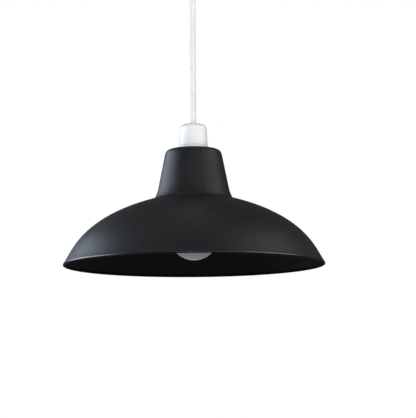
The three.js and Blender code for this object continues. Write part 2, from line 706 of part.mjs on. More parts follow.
// ---------------------------------------------------------------- lamp
const lampFootZ = contactZ - LAMP_LENGTH;
const sphereZ = lampFootZ + LAMP_RADIUS;
const lampCapTopZ = contactZ - 2 * TOUCH;
const lampCapFootZ = contactZ - LAMP_CAP_LENGTH;
const lampCapBore = LAMP_CAP_RADIUS - LAMP_CAP_WALL;
const edgeRadius = LAMP_RADIUS * Math.cos(radians(DIFFUSER_EDGE_ANGLE));
const edgeZ = sphereZ + LAMP_RADIUS * Math.sin(radians(DIFFUSER_EDGE_ANGLE));
const boardTopZ = edgeZ + TOUCH + 2 * BOARD_THICKNESS;

// Metal cap shell with its two bayonet pins.
function lampCap() {
  const shell = turned([
    [lampCapBore, lampCapFootZ],
    [LAMP_CAP_RADIUS + LAMP_CAP_FLARE, lampCapFootZ],
    [LAMP_CAP_RADIUS, lampCapFootZ + LAMP_CAP_FLARE_HEIGHT],
    [LAMP_CAP_RADIUS, lampCapTopZ - LAMP_CAP_CHAMFER],
    [LAMP_CAP_RADIUS - LAMP_CAP_CHAMFER, lampCapTopZ],
    [lampCapBore - LAMP_CAP_LIP, lampCapTopZ],
    [lampCapBore - LAMP_CAP_LIP, lampCapTopZ - LAMP_CAP_WALL],
    [lampCapBore, lampCapTopZ - LAMP_CAP_LIP_DEPTH],
  ]);
  const pins = [-1, 1].map((side) => {
    const rootY = side * (lampCapBore + LAMP_CAP_WALL / 6);
    return barAlongY(PIN_RADIUS, rootY, side * pinReach, 0, pinZ);
  });
  return geometryOf(joined(shell, ...pins));
}

function lampInsulator() {
  const topZ = contactZ - CONTACT_THICKNESS - TOUCH;
  const discTopZ = lampCapTopZ - LAMP_CAP_LIP_DEPTH - TOUCH;
  const discRadius = lampCapBore - TOUCH;
  return turned([
    [0, discTopZ - INSULATOR_THICKNESS],
    [discRadius, discTopZ - INSULATOR_THICKNESS],
    [discRadius, discTopZ],
    [discRadius - INSULATOR_STEP, discTopZ],
    [discRadius - INSULATOR_STEP - INSULATOR_DRAFT, topZ],
    [0, topZ],
  ]);
}

function lampContact(side) {
  const x = (side * POST_SPACING) / 2;
  return upright(circle(x, 0, CONTACT_RADIUS), contactZ - CONTACT_THICKNESS, contactZ);
}

const FLARE_PULL = 0.4; // share of the flare's height over which it keeps the slope at each end

// Plastic housing: a neck inside the metal cap, then a flare that meets the diffuser.
function lampHousing() {
  const neckRadius = lampCapBore - TOUCH;
  const topRadius = LAMP_CAP_RADIUS + HOUSING_STEP;
  const shoulderZ = lampCapFootZ - TOUCH;
  const lean = [-Math.sin(radians(DIFFUSER_EDGE_ANGLE)), Math.cos(radians(DIFFUSER_EDGE_ANGLE))];
  const flareHeight = shoulderZ - edgeZ;
  const pull = FLARE_PULL * flareHeight;
  const outer = [
    ...bend(
      [
        [edgeRadius, edgeZ + TOUCH],
        [edgeRadius + lean[0] * pull, edgeZ + lean[1] * pull],
        [topRadius, shoulderZ - pull],
        [topRadius, shoulderZ],
      ],
      6,
    ),
    [neckRadius, shoulderZ],
    [neckRadius, shoulderZ + LAMP_CAP_LENGTH / 2],
  ];
  const inner = [
    [neckRadius - HOUSING_WALL, shoulderZ + LAMP_CAP_LENGTH / 2],
    [neckRadius - HOUSING_WALL, shoulderZ - HOUSING_WALL],
    ...bend(
      [
        [topRadius - HOUSING_WALL, shoulderZ - HOUSING_WALL],
        [topRadius - HOUSING_WALL, shoulderZ - pull],
        [edgeRadius - HOUSING_WALL + lean[0] * pull, edgeZ + lean[1] * pull],
        [edgeRadius - HOUSING_WALL, edgeZ + TOUCH],
      ],
      6,
    ),
  ];
  return turned([...outer, ...inner]);
}

function lampDiffuser() {
  const steps = 7;
  const outer = arc(0, sphereZ, LAMP_RADIUS, -90, DIFFUSER_EDGE_ANGLE, steps);
  const innerRadius = LAMP_RADIUS - DIFFUSER_WALL;
  const innerEdge = THREE.MathUtils.radToDeg(Math.asin((edgeZ - sphereZ) / innerRadius));
  const inner = arc(0, sphereZ, innerRadius, innerEdge, -90, steps);
  outer[0][0] = 0;
  inner.at(-1)[0] = 0;
  return turned([...outer, ...inner]);
}

// Round aluminium board that closes the housing, with LED chips on its underside.
function ledBoard() {
  const radius = edgeRadius - HOUSING_WALL - BOARD_INSET;
  const footZ = boardTopZ - BOARD_THICKNESS;
  const disc = upright(circle(0, 0, radius, ROUND_SIDES), footZ, boardTopZ);
  const chips = Array.from({ length: LED_COUNT }, (_, i) => {
    const angle = (2 * Math.PI * i) / LED_COUNT;
    const place = [LED_RING_RADIUS * Math.cos(angle), LED_RING_RADIUS * Math.sin(angle)];
    return box(LED_SIZE, LED_SIZE, LED_HEIGHT + TOUCH, ...place, footZ - LED_HEIGHT);
  });
  return geometryOf(joined(disc, ...chips));
}

const driverFootZ = boardTopZ + DRIVER_STAND;
const driverTopZ = driverFootZ + DRIVER_LENGTH;

function driverCapacitor() {
  const y = BOARD_THICKNESS / 2 + TOUCH + CAPACITOR_RADIUS;
  const footZ = driverFootZ + CAPACITOR_STAND;
  return upright(circle(0, y, CAPACITOR_RADIUS), footZ, footZ + CAPACITOR_LENGTH);
}

function lampLead(side) {
  const insulatorFootZ = lampCapTopZ - LAMP_CAP_LIP_DEPTH - TOUCH - INSULATOR_THICKNESS;
  const route = smooth([
    [side * LEAD_SPREAD, 0, insulatorFootZ - TOUCH],
    [side * (LEAD_SPREAD + LEAD_BOW), LEAD_BOW, (insulatorFootZ + driverTopZ) / 2],
    [side * LEAD_SPREAD, 0, driverTopZ + TOUCH],
  ]);
  return tube(route, LEAD_RADIUS, 6, LEAD_SIDES);
}

add("lamp_cap", lampCap(), "aluminium");
add("lamp_insulator", lampInsulator(), "blackResin");
add("lamp_housing", lampHousing(), "lampPlastic");
add("lamp_diffuser", lampDiffuser(), "opal");
add("lamp_led_board", ledBoard(), "aluminium");
const driverBoard = box(DRIVER_WIDTH, BOARD_THICKNESS, DRIVER_LENGTH, 0, 0, driverFootZ);
add("lamp_driver_board", driverBoard, "circuitBoard");
add("lamp_driver_capacitor", driverCapacitor(), "blackResin");
for (const [hand, side] of [["left", -1], ["right", 1]]) {
  add(`lamp_contact_${hand}`, lampContact(side), "tinnedLead");
  add(`lamp_lead_${hand}`, lampLead(side), "brownCore");
}

export default light;
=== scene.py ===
import math

import bmesh
import bpy
from mathutils import Matrix, Vector

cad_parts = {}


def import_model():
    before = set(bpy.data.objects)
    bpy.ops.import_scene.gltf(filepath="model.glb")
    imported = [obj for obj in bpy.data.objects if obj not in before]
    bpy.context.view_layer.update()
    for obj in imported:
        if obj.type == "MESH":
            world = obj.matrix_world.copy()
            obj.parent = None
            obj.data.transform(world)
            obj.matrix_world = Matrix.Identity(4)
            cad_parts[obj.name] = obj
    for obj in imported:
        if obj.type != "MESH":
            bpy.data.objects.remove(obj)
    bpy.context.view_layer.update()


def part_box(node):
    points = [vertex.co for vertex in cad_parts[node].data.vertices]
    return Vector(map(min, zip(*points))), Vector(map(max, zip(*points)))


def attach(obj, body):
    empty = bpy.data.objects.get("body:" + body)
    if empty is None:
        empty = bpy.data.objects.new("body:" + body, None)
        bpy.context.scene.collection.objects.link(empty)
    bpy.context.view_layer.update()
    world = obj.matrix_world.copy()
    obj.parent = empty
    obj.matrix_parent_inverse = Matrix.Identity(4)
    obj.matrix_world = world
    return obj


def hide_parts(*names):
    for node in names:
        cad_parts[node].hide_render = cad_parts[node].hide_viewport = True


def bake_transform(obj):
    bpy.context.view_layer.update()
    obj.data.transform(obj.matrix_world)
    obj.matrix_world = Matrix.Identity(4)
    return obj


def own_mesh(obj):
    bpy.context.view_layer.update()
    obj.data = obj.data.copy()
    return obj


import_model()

MM = 0.001
GAP = 0.3  # clearance between pieces that meet
scene = bpy.context.scene


def heights(node):
    """Foot and top of a CAD node, in millimetres."""
    low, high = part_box(node)
    return low.z / MM, high.z / MM


def object_of(name, data):
    """An object in the scene."""
    made = bpy.data.objects.new(name, data)
    scene.collection.objects.link(made)
    return made


def plain(holder):
    """The plain mesh that an object's curve or modifiers make. The object itself is removed."""
    made = bpy.data.meshes.new_from_object(holder.evaluated_get(bpy.context.evaluated_depsgraph_get()))
    bpy.data.objects.remove(holder)
    return made


def in_one_material(mesh, material):
    """A mesh with all its faces in one material."""
    mesh.materials.clear()
    mesh.materials.append(material)
    mesh.polygons.foreach_set("material_index", [0] * len(mesh.polygons))
    return mesh


cap_foot, cap_top = heights("lampholder_cap")
rim, seat = heights("shade")
mouth = heights("lampholder_body")[0]
outlet = heights("rose_cover")[0]
flange_top = cap_foot - GAP
flange_foot = seat + GAP

# ---------------------------------------------------------------- camera
CAMERA_AWAY = 1.65  # metres from the light's axis
CAMERA_BELOW_RIM = 0.1545  # metres
PAN, PITCH, ROLL = 0.0099, 0.1328, 0.0089  # radians
SENSOR = 36
LENS = 124.45
FARTHEST = 50  # metres that the camera sees


def camera():
    """A long lens, a little below the rim, that looks slightly up at the shade."""
    data = bpy.data.cameras.new("camera")
    data.sensor_fit = "VERTICAL"
    data.sensor_width = SENSOR
    data.sensor_height = SENSOR
    data.lens = LENS
    data.clip_end = FARTHEST
    level_share = math.cos(PITCH)
    ahead = Vector((math.sin(PAN) * level_share, math.cos(PAN) * level_share, math.sin(PITCH)))
    level = Vector((math.cos(PAN), -math.sin(PAN), 0))
    upward = level.cross(ahead)
    right = level * math.cos(ROLL) - upward * math.sin(ROLL)
    up = level * math.sin(ROLL) + upward * math.cos(ROLL)
    turn = Matrix((right, up, -ahead)).transposed().to_4x4()
    made = object_of("camera", data)
    made.matrix_world = Matrix.Translation((0, -CAMERA_AWAY, rim * MM - CAMERA_BELOW_RIM)) @ turn
    scene.camera = made


camera()


# ---------------------------------------------------------------- node trees
def add(tree, kind, inputs=None, **settings):
    """One node in a tree, with its settings, and a value or a link for each of its sockets."""
    made = tree.nodes.new(kind)
    for setting, value in settings.items():
        setattr(made, setting, value)
    for socket, value in (inputs or {}).items():
        if isinstance(value, bpy.types.NodeSocket):
            tree.links.new(value, made.inputs[socket])
        else:
            made.inputs[socket].default_value = value
    return made


def colour(code):
    """Linear colour from an sRGB hex value."""
    parts = [int(code[i : i + 2], 16) / 255 for i in (1, 3, 5)]
    return [p / 12.92 if p <= 0.04045 else ((p + 0.055) / 1.055) ** 2.4 for p in parts] + [1]


SHEEN_ROUGHNESS = 0.2  # keeps a sheen to the very edge


def surface(
    name, dark, light, roughness, patch, grain, depth, stretch=(1, 1, 1),
    metallic=0.0, ior=1.5, specular=0.5, coat=0.0, soft=0.0, sheen=0.0,
):
    """A material whose colour drifts between two shades, with a grain in its gloss and its relief.

    roughness is its lowest and highest value. patch, grain and depth are the width of the colour's
    patches, the width of the grain and its height, in millimetres. stretch squeezes the grain along X, Y
    and Z, as brushing does.
    """
    made = bpy.data.materials.new(name)
    made.use_nodes = True
    tree = made.node_tree
    shader = tree.nodes["Principled BSDF"]
    place = add(tree, "ShaderNodeTexCoord").outputs["Object"]
    lined = add(tree, "ShaderNodeMapping", {"Vector": place, "Scale": stretch}).outputs[0]
    patches = {"Vector": place, "Scale": 1 / (patch * MM), "Detail": 3.0}
    drift = add(tree, "ShaderNodeTexNoise", patches).outputs[0]
    grains = {"Vector": lined, "Scale": 1 / (grain * MM), "Detail": 2.0}
    fine = add(tree, "ShaderNodeTexNoise", grains).outputs[0]
    spread = {"From Min": 0.3, "From Max": 0.7}
    share = add(tree, "ShaderNodeMapRange", {"Value": drift, **spread}).outputs[0]
    tint = add(tree, "ShaderNodeMix", {0: share, 6: colour(dark), 7: colour(light)}, data_type="RGBA")
    gloss = {"Value": fine, "To Min": roughness[0], "To Max": roughness[1], **spread}
    relief = {"Height": fine, "Distance": depth * MM, "Strength": 1.0}
    tree.links.new(tint.outputs[2], shader.inputs["Base Color"])
    tree.links.new(add(tree, "ShaderNodeMapRange", gloss).outputs[0], shader.inputs["Roughness"])
    tree.links.new(add(tree, "ShaderNodeBump", relief).outputs[0], shader.inputs["Normal"])
    even = {
        "Metallic": metallic,
        "Specular IOR Level": specular,
        "Coat Weight": coat,
        "Subsurface Weight": soft,
        "Subsurface Scale": MM,
        "Sheen Weight": sheen,
        "Sheen Roughness": SHEEN_ROUGHNESS,
    }
    if not metallic:
        even["IOR"] = ior
    for socket, value in even.items():
        shader.inputs[socket].default_value = value
    return made


# Polyester powder coat, sprayed and baked: a satin black with a fine orange-peel grain. Real grain is
# about 0.4 mm wide. It is drawn more than five times as wide, so that it still shows from across a room.
powder_coat = surface(
    "satin_black_powder_coat", "#0b0c0e", "#111214", (0.41, 0.52), 40, 2.2, 0.17, specular=0.42
)
# The same powder on the rolled rim, where it pulls thin over the bend and flows out smooth and glossy.
rim_coat = surface(
    "smooth_black_powder_coat", "#0b0c0e", "#111214", (0.22, 0.3), 40, 2.4, 0.04, specular=1.0
)
# The same powder inside the shade and under the rolled rim, duller there, its colour darkened as painted
# shade.
shaded_inner_coat = surface(
    "black_powder_coat_painted_shade", "#030303", "#050506", (0.55, 0.68), 30, 1.2, 0.03, specular=0.04
)
# Moulded urea-formaldehyde: hard, cool white, with a semi-gloss skin and faint flow marks.
white_resin = surface(
    "moulded_urea_white", "#e1e2e1", "#eaeae9", (0.28, 0.38), 14, 1.5, 0.01, ior=1.55, specular=0.45
)
# The same resin in the rose, its colour painted greyer than the cap's as painted shade, where the key
# light is strongest.
shaded_rose_resin = surface(
    "moulded_urea_shaded_grey", "#cfd1d0", "#d9dad9", (0.32, 0.42), 16, 1.5, 0.01, ior=1.55, specular=0.4
)
# Extruded PVC sheath: warm white, silky, with faint lines along it from the die.
sheath_pvc = surface(
    "extruded_pvc_white", "#dbd9d4", "#e4e2de", (0.42, 0.55), 9, 0.9, 0.02, (1, 1, 0.02),
    ior=1.53, soft=0.1,
)
# PVC core insulation: glossy, in the two wiring colours.
brown_pvc = surface("extruded_pvc_brown", "#4b2a17", "#5b341d", (0.35, 0.48), 6, 0.6, 0.01, ior=1.53)
blue_pvc = surface("extruded_pvc_blue", "#1d4f97", "#2b62ad", (0.35, 0.48), 6, 0.6, 0.01, ior=1.53)
# Turned brass: yellow, bright, with tool rings across its axis.
turned_brass = surface(
    "turned_brass", "#b18a3e", "#d0a855", (0.22, 0.4), 3, 0.35, 0.006, (0.15, 0.15, 4), metallic=1.0
)
# Zinc-plated spring wire: grey and bright, with drawing lines.
spring_wire = surface(
    "zinc_plated_spring_wire", "#a9adb0", "#c4c8ca", (0.25, 0.4), 2, 0.2, 0.004, metallic=1.0
)
# Pressed aluminium: pale and satin, with faint draw marks up its side.
pressed_aluminium = surface(
    "pressed_aluminium", "#b9bcbe", "#cfd1d3", (0.28, 0.46), 5, 0.5, 0.008, (1, 1, 0.06), metallic=1.0
)
# Tin-lead solder: dull grey, slightly lumpy from cooling.
solder = surface("cooled_solder", "#8d9194", "#aab0b3", (0.35, 0.6), 1.5, 0.8, 0.05, metallic=1.0)
# Black vitrite, a cast glass: shiny, with shallow pits.
vitrite = surface("cast_black_glass", "#0c0c10", "#17171c", (0.08, 0.2), 3, 1.2, 0.03, ior=1.52)
# Opal polycarbonate, unlit, with a satin skin, paler at its edge; its white is painted grey as painted
# shade.
opal = surface(
    "opal_polycarbonate_shaded_grey", "#53575e", "#5a5e65", (0.38, 0.5), 12, 0.8, 0.008, ior=1.58, specular=0.4,
    soft=0.1, sheen=0.8,
)
# Moulded PBT housing: ivory white and satin.
lamp_plastic = surface(
    "moulded_pbt_white", "#c9c9cb", "#d6d6d7", (0.38, 0.5), 10, 0.9, 0.012, ior=1.55, specular=0.4
)
# Moulded black nylon: low sheen with a spark-eroded mould texture.
black_nylon = surface(
    "moulded_nylon_black", "#131314", "#1c1c1e", (0.42, 0.58), 8, 0.7, 0.03, ior=1.53, specular=0.4
)
# White solder mask over aluminium: even and semi-gloss.
solder_mask = surface("white_solder_mask", "#dcdedb", "#e8e9e6", (0.3, 0.42), 4, 0.5, 0.006, coat=0.2)
# Phosphor in clear silicone, over each LED: deep yellow when unlit.
phosphor = surface("led_phosphor_silicone", "#d9b23a", "#e6c452", (0.3, 0.4), 2, 0.4, 0.004, ior=1.42)
# Glass-fibre laminate: pale green, with the glass cloth just showing.
fibre_board = surface("glass_fibre_laminate", "#8f9c6f", "#a5b083", (0.35, 0.5), 2, 0.7, 0.01)
# Shrunk PVC sleeve on the capacitor: black and glossy.
shrink_sleeve = surface("shrunk_pvc_sleeve", "#15161b", "#20222a", (0.2, 0.32), 4, 0.8, 0.01, ior=1.53)


# ---------------------------------------------------------------- outlines
# Outlines are lists of (radius, height) points in millimetres.
def curve(points, steps):
    """Points of a Bezier curve of any number of handles."""
    found = []
    for i in range(steps + 1):
        left = [Vector(p) for p in points]
        while len(left) > 1:
            left = [a.lerp(b, i / steps) for a, b in zip(left, left[1:])]
        found.append(tuple(left[0]))
    return found


def arc(centre_radius, centre_height, size, start, end, steps):
    """Points of an arc between two angles in degrees. size is its radius, or two radii for an ellipse."""
    across, along = size if isinstance(size, tuple) else (size, size)
    angles = [math.radians(start + (end - start) * i / steps) for i in range(steps + 1)]
    return [(centre_radius + across * math.cos(a), centre_height + along * math.sin(a)) for a in angles]


def inset(points, wall):
    """The same outline moved to its left by a wall's thickness."""
    moved = []
    for i, point in enumerate(points):
        before = Vector(points[max(i - 1, 0)])
        after = Vector(points[min(i + 1, len(points) - 1)])
        along = (after - before).normalized()
        moved.append((point[0] - along.y * wall, point[1] + along.x * wall))
    return moved


ON_AXIS = 0.01
SLIGHT_TURN = math.radians(25)
LARGEST_SHARE = 0.4  # of a side that its corner's rounding may take
SMALLEST_ROUND = 0.02


def rounded(points, size, steps=3):
    """A closed outline with each sharp corner off the axis rounded to about that size."""
    made = []
    count = len(points)
    for i, point in enumerate(points):
        here = Vector(point)
        into = Vector(points[i - 1]) - here
        out = Vector(points[(i + 1) % count]) - here
        turn = math.pi - into.angle(out) if into.length and out.length else 0
        reach = min(size, LARGEST_SHARE * into.length, LARGEST_SHARE * out.length)
        if point[0] < ON_AXIS or turn < SLIGHT_TURN or reach < SMALLEST_ROUND:
            made.append(tuple(point))
        else:
            start, end = here + into.normalized() * reach, here + out.normalized() * reach
            made += curve([start, here, end], steps)
    return made


# ---------------------------------------------------------------- geometry trees
FLOAT, WHOLE, MATERIAL = "NodeSocketFloat", "NodeSocketInt", "NodeSocketMaterial"
DOUBLES = 1e-6  # metres within which two points are one
SPECK = 1e-7  # metres under which an edge is no edge
THINNEST = 0.05  # share of a thread's size that is left at its very ends


def new_tree(name, sizes):
    """A geometry tree with its named inputs. Gives the tree and its inputs' sockets."""
    tree = bpy.data.node_groups.new(name, "GeometryNodeTree")
    tree.interface.new_socket("Geometry", in_out="INPUT", socket_type="NodeSocketGeometry")
    for size, kind in {**sizes, "Material": MATERIAL}.items():
        tree.interface.new_socket(size, in_out="INPUT", socket_type=kind)
    tree.interface.new_socket("Geometry", in_out="OUTPUT", socket_type="NodeSocketGeometry")
    return tree, tree.nodes.new("NodeGroupInput").outputs


def end_tree(tree, given, geometry):
    """Ends a geometry tree: copies made real, and the material set."""
    real = add(tree, "GeometryNodeRealizeInstances", {"Geometry": geometry}).outputs[0]
    coated = {"Geometry": real, "Material": given["Material"]}
    finish = add(tree, "GeometryNodeSetMaterial", coated).outputs[0]
    add(tree, "NodeGroupOutput", {"Geometry": finish})
    return tree


def sum_of(tree, kind, first, second):
    """A Math node's answer."""
    return add(tree, "ShaderNodeMath", {0: first, 1: second}, operation=kind).outputs[0]


def turning_tree():
    """Turns an outline, drawn in the XZ plane, once round the Z axis."""
    tree, given = new_tree("turned_outline", {"Sides": WHOLE})
    outline = given["Geometry"]
    points = add(tree, "GeometryNodeAttributeDomainSize", {"Geometry": outline}).outputs["Point Count"]
    columns = sum_of(tree, "ADD", given["Sides"], 1)
    grid = add(tree, "GeometryNodeMeshGrid", {"Vertices X": points, "Vertices Y": columns}).outputs[0]
    index = add(tree, "GeometryNodeInputIndex").outputs[0]
    middle = sum_of(tree, "ADD", index, 0.5)
    row = sum_of(tree, "FLOOR", sum_of(tree, "DIVIDE", middle, columns), 0)
    column = sum_of(tree, "SUBTRACT", index, sum_of(tree, "MULTIPLY", row, columns))
    angle = sum_of(tree, "MULTIPLY", column, sum_of(tree, "DIVIDE", 2 * math.pi, given["Sides"]))
    place = add(tree, "GeometryNodeInputPosition").outputs[0]
    source = {"Geometry": outline, "Value": place, "Index": row}
    start = add(tree, "GeometryNodeSampleIndex", source, data_type="FLOAT_VECTOR").outputs[0]
    turn = {"Vector": start, "Angle": angle}
    end = add(tree, "ShaderNodeVectorRotate", turn, rotation_type="Z_AXIS").outputs[0]
    placed = add(tree, "GeometryNodeSetPosition", {"Geometry": grid, "Position": end}).outputs[0]
    seam = {"Geometry": placed, "Distance": DOUBLES}
    return end_tree(tree, given, add(tree, "GeometryNodeMergeByDistance", seam).outputs[0])


def ring_tree():
    """Repeats a shape round the Z axis."""
    tree, given = new_tree("ring_of_copies", {"Count": WHOLE})
    points = add(tree, "GeometryNodePoints", {"Count": given["Count"]}).outputs[0]
    index = add(tree, "GeometryNodeInputIndex").outputs[0]
    step = sum_of(tree, "DIVIDE", 2 * math.pi, given["Count"])
    turn = add(tree, "ShaderNodeCombineXYZ", {"Z": sum_of(tree, "MULTIPLY", index, step)}).outputs[0]
    copies = {"Points": points, "Instance": given["Geometry"], "Rotation": turn}
    return end_tree(tree, given, add(tree, "GeometryNodeInstanceOnPoints", copies).outputs[0])


def helix_tree():
    """A ridge or a wire wound round the Z axis, thinner towards its two ends."""
    sizes = ["Radius", "Pitch", "Turns", "Foot", "Reach", "Width", "Run out"]
    tree, given = new_tree("helix", {**{size: FLOAT for size in sizes}, "Corners": WHOLE})
    height = sum_of(tree, "MULTIPLY", given["Pitch"], given["Turns"])
    line = {
        "Resolution": 48,
        "Rotations": given["Turns"],
        "Start Radius": given["Radius"],
        "End Radius": given["Radius"],
        "Height": height,
    }
    spiral = add(tree, "GeometryNodeCurveSpiral", line).outputs[0]
    upright = add(tree, "GeometryNodeSetCurveNormal", {"Curve": spiral}, mode="Z_UP").outputs[0]
    along = add(tree, "GeometryNodeSplineParameter").outputs["Factor"]
    nearest = sum_of(tree, "MINIMUM", along, sum_of(tree, "SUBTRACT", 1, along))
    turns_in = sum_of(tree, "MULTIPLY", nearest, given["Turns"])
    share = sum_of(tree, "MINIMUM", sum_of(tree, "DIVIDE", turns_in, given["Run out"]), 1)
    size = sum_of(tree, "MAXIMUM", share, THINNEST)
    tapered = add(tree, "GeometryNodeSetCurveRadius", {"Curve": upright, "Radius": size}).outputs[0]
    lift = add(tree, "ShaderNodeCombineXYZ", {"Z": given["Foot"]}).outputs[0]
    lifted = add(tree, "GeometryNodeSetPosition", {"Geometry": tapered, "Offset": lift}).outputs[0]
    round_line = {"Resolution": given["Corners"], "Radius": 1.0}
    circle = add(tree, "GeometryNodeCurvePrimitiveCircle", round_line).outputs[0]
    sides = {"X": given["Reach"], "Y": given["Width"], "Z": 1.0}
    shape = add(tree, "ShaderNodeCombineXYZ", sides).outputs[0]
    section = add(tree, "GeometryNodeTransform", {"Geometry": circle, "Scale": shape}).outputs[0]
    swept = {"Curve": lifted, "Profile Curve": section, "Scale": size, "Fill Caps": True}
    return end_tree(tree, given, add(tree, "GeometryNodeCurveToMesh", swept).outputs[0])


TURNING, RING, HELIX = turning_tree(), ring_tree(), helix_tree()
SHARP = math.radians(32)


def facing_out(mesh):
    """A mesh with its doubles merged and its faces outwards."""
    work = bmesh.new()
    work.from_mesh(mesh)
    bmesh.ops.remove_doubles(work, verts=work.verts, dist=DOUBLES)
    bmesh.ops.dissolve_degenerate(work, edges=work.edges, dist=SPECK)
    bmesh.ops.recalc_face_normals(work, faces=work.faces)
    work.to_mesh(mesh)
    work.free()
    return mesh


def piece_of(name, mesh, body=None, node=()):
    """A finished piece: faces outwards, smooth with sharp edges, riding on its body."""
    facing_out(mesh)
    mesh.shade_smooth()
    mesh.set_sharp_from_angle(angle=SHARP)
    made = object_of(name, mesh)
    if body:
        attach(made, body)
    if node:
        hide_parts(*([node] if isinstance(node, str) else node))
    return made


def grown(name, tree, start, sizes):
    """The plain mesh that a geometry tree makes from a starting mesh and its named sizes."""
    holder = object_of(name, start)
    modifier = holder.modifiers.new(tree.name, "NODES")
    modifier.node_group = tree
    for item in tree.interface.items_tree:
        if item.in_out == "INPUT" and item.name in sizes:
            modifier[item.identifier] = sizes[item.name]
    made = plain(holder)
    made.name = name
    return facing_out(in_one_material(made, sizes["Material"]))


def turned(name, outline, material, sides=96, closed=True):
    """The mesh of an outline turned round the Z axis."""
    line = list(outline) + ([outline[0]] if closed else [])
    start = bpy.data.meshes.new(name)
    edges = [(i, i + 1) for i in range(len(line) - 1)]
    start.from_pydata([(r * MM, 0, z * MM) for r, z in line], edges, [])
    return grown(name, TURNING, start, {"Sides": sides, "Material": material})


def ring_of(name, shape, count, material):
    """The mesh of a shape repeated round the Z axis."""
    return grown(name, RING, shape, {"Count": count, "Material": material})


def helix(name, radius, pitch, turns, foot, reach, width, material, corners=4, run_out=0.4):
    """The mesh of a screw thread or a coiled wire. Sizes in millimetres."""
    sizes = {
        "Radius": radius * MM,
        "Pitch": pitch * MM,
        "Turns": float(turns),
        "Foot": foot * MM,
        "Reach": reach * MM,
        "Width": width * MM,
        "Run out": run_out,
        "Corners": corners,
        "Material": material,
    }
    return grown(name, HELIX, bpy.data.meshes.new(name), sizes)


def together(name, *meshes):
    """Several meshes as one, with each one's own material."""
    work = bmesh.new()
    materials = []
    for mesh in meshes:
        first = len(work.faces)
        work.from_mesh(mesh)
        work.faces.ensure_lookup_table()
        for face in work.faces[first:]:
            own = mesh.materials[min(face.material_index, len(mesh.materials) - 1)]
            if own not in materials:
                materials.append(own)
            face.material_index = materials.index(own)
    made = bpy.data.meshes.new(name)
    work.to_mesh(made)
    work.free()
    for material in materials:
        made.materials.append(material)
    return made


def prism(name, corners, foot, top, material=None, shrink=1.0):
    """The mesh of an upright solid between two heights, from its corners in order, in millimetres.

    shrink is the size of its top against its foot, about the corners' middle.
    """
    middle = sum((Vector(c) for c in corners), Vector((0, 0))) / len(corners)
    upper = [middle + (Vector(c) - middle) * shrink for c in corners]
    count = len(corners)
    points = [(x * MM, y * MM, foot * MM) for x, y in corners]
    points += [(x * MM, y * MM, top * MM) for x, y in upper]
    sides = [(i, (i + 1) % count, count + (i + 1) % count, count + i) for i in range(count)]
    faces = [list(range(count))[::-1], list(range(count, 2 * count)), *sides]
    made = bpy.data.meshes.new(name)
    made.from_pydata(points, [], faces)
    if material:
        made.materials.append(material)
    return made


def oblong(x, y, width, length, corner=0.3, steps=3):
    """Corners of a rectangle with rounded corners, in millimetres."""
    found = []
    for k, (sx, sy) in enumerate([(1, 1), (-1, 1), (-1, -1), (1, -1)]):
        centre = (x + sx * (width / 2 - corner), y + sy * (length / 2 - corner))
        found += arc(*centre, corner, 90 * k, 90 * k + 90, steps)
    return found


def sector(inner, outer, start, end, steps=8):
    """Corners of part of a ring, between two angles in degrees."""
    return arc(0, 0, outer, start, end, steps) + arc(0, 0, inner, end, start, steps)


def shaped(mesh, *tools, operation="DIFFERENCE"):
    """A mesh with the tools cut away from it, or joined to it, all in the first one's material."""
    material = mesh.materials[0]
    for tool in tools:
        base, other = object_of(mesh.name, mesh), object_of(tool.name, tool)
        modifier = base.modifiers.new("shape", "BOOLEAN")
        modifier.operation = operation
        modifier.solver = "EXACT"
        modifier.object = other
        made = plain(base)
        bpy.data.objects.remove(other)
        made.name = mesh.name
        mesh = made
    return in_one_material(mesh, material)


def disc(x, y, radius, sides=48):
    """Corners of a circle, in millimetres."""
    return arc(x, y, radius, 0, 360, sides)[:-1]


def moved(mesh, place=(0, 0, 0), turn=0.0, about="X"):
    """A copy of a mesh, turned in degrees about an axis and then moved in millimetres."""
    made = mesh.copy()
    made.transform(Matrix.Translation(Vector(place) * MM) @ Matrix.Rotation(math.radians(turn), 4, about))
    return made


def softened(mesh, width, steps=2):
    """A mesh with its sharp edges rounded over a width in millimetres."""
    work = bmesh.new()
    work.from_mesh(mesh)
    edges = [edge for edge in work.edges if edge.is_manifold and edge.calc_face_angle() > SHARP]
    bmesh.ops.bevel(work, geom=edges, offset=width * MM, segments=steps, profile=0.5, affect="EDGES")
    work.to_mesh(mesh)
    work.free()
    return mesh


def wire(name, points, radius, material, node, body):
    """An insulated core or a lead through points in millimetres, with flat cut ends."""
    line = bpy.data.curves.new(name, "CURVE")
    line.dimensions = "3D"
    line.bevel_depth = radius * MM
    line.bevel_resolution = 5
    line.resolution_u = 10
    line.use_fill_caps = True
    spline = line.splines.new("BEZIER")
    spline.bezier_points.add(len(points) - 1)
    for knot, point in zip(spline.bezier_points, points):
        knot.co = Vector(point) * MM
        knot.handle_left_type = knot.handle_right_type = "AUTO"
    return piece_of(name, in_one_material(plain(object_of(name, line)), material), body, node)


# ---------------------------------------------------------------- flex
# A twin flex, nearly round: two cores under one sheath, with a slow twist and a shallow groove each side.
FLEX_WIDTH = 8.0
FLEX_THICKNESS = 7.0
FLEX_GROOVE = 0.25
FLEX_TWIST = 50  # degrees from the rose to the lampholder
FLEX_START = 20  # degrees that its section is turned at the rose
GROOVE_REACH = 0.22  # how far the groove spreads, as a share of the half width
FLEX_IN_ROSE = 1.2  # how far it goes into the rose's outlet
FLEX_IN_CAP = 0.3  # little, to stay clear of the sheath's end as the lampholder tilts
FLEX_TIP = 0.6  # rounding at the two ends, out of sight in their holes
FLEX_RINGS, FLEX_SIDES = 36, 48


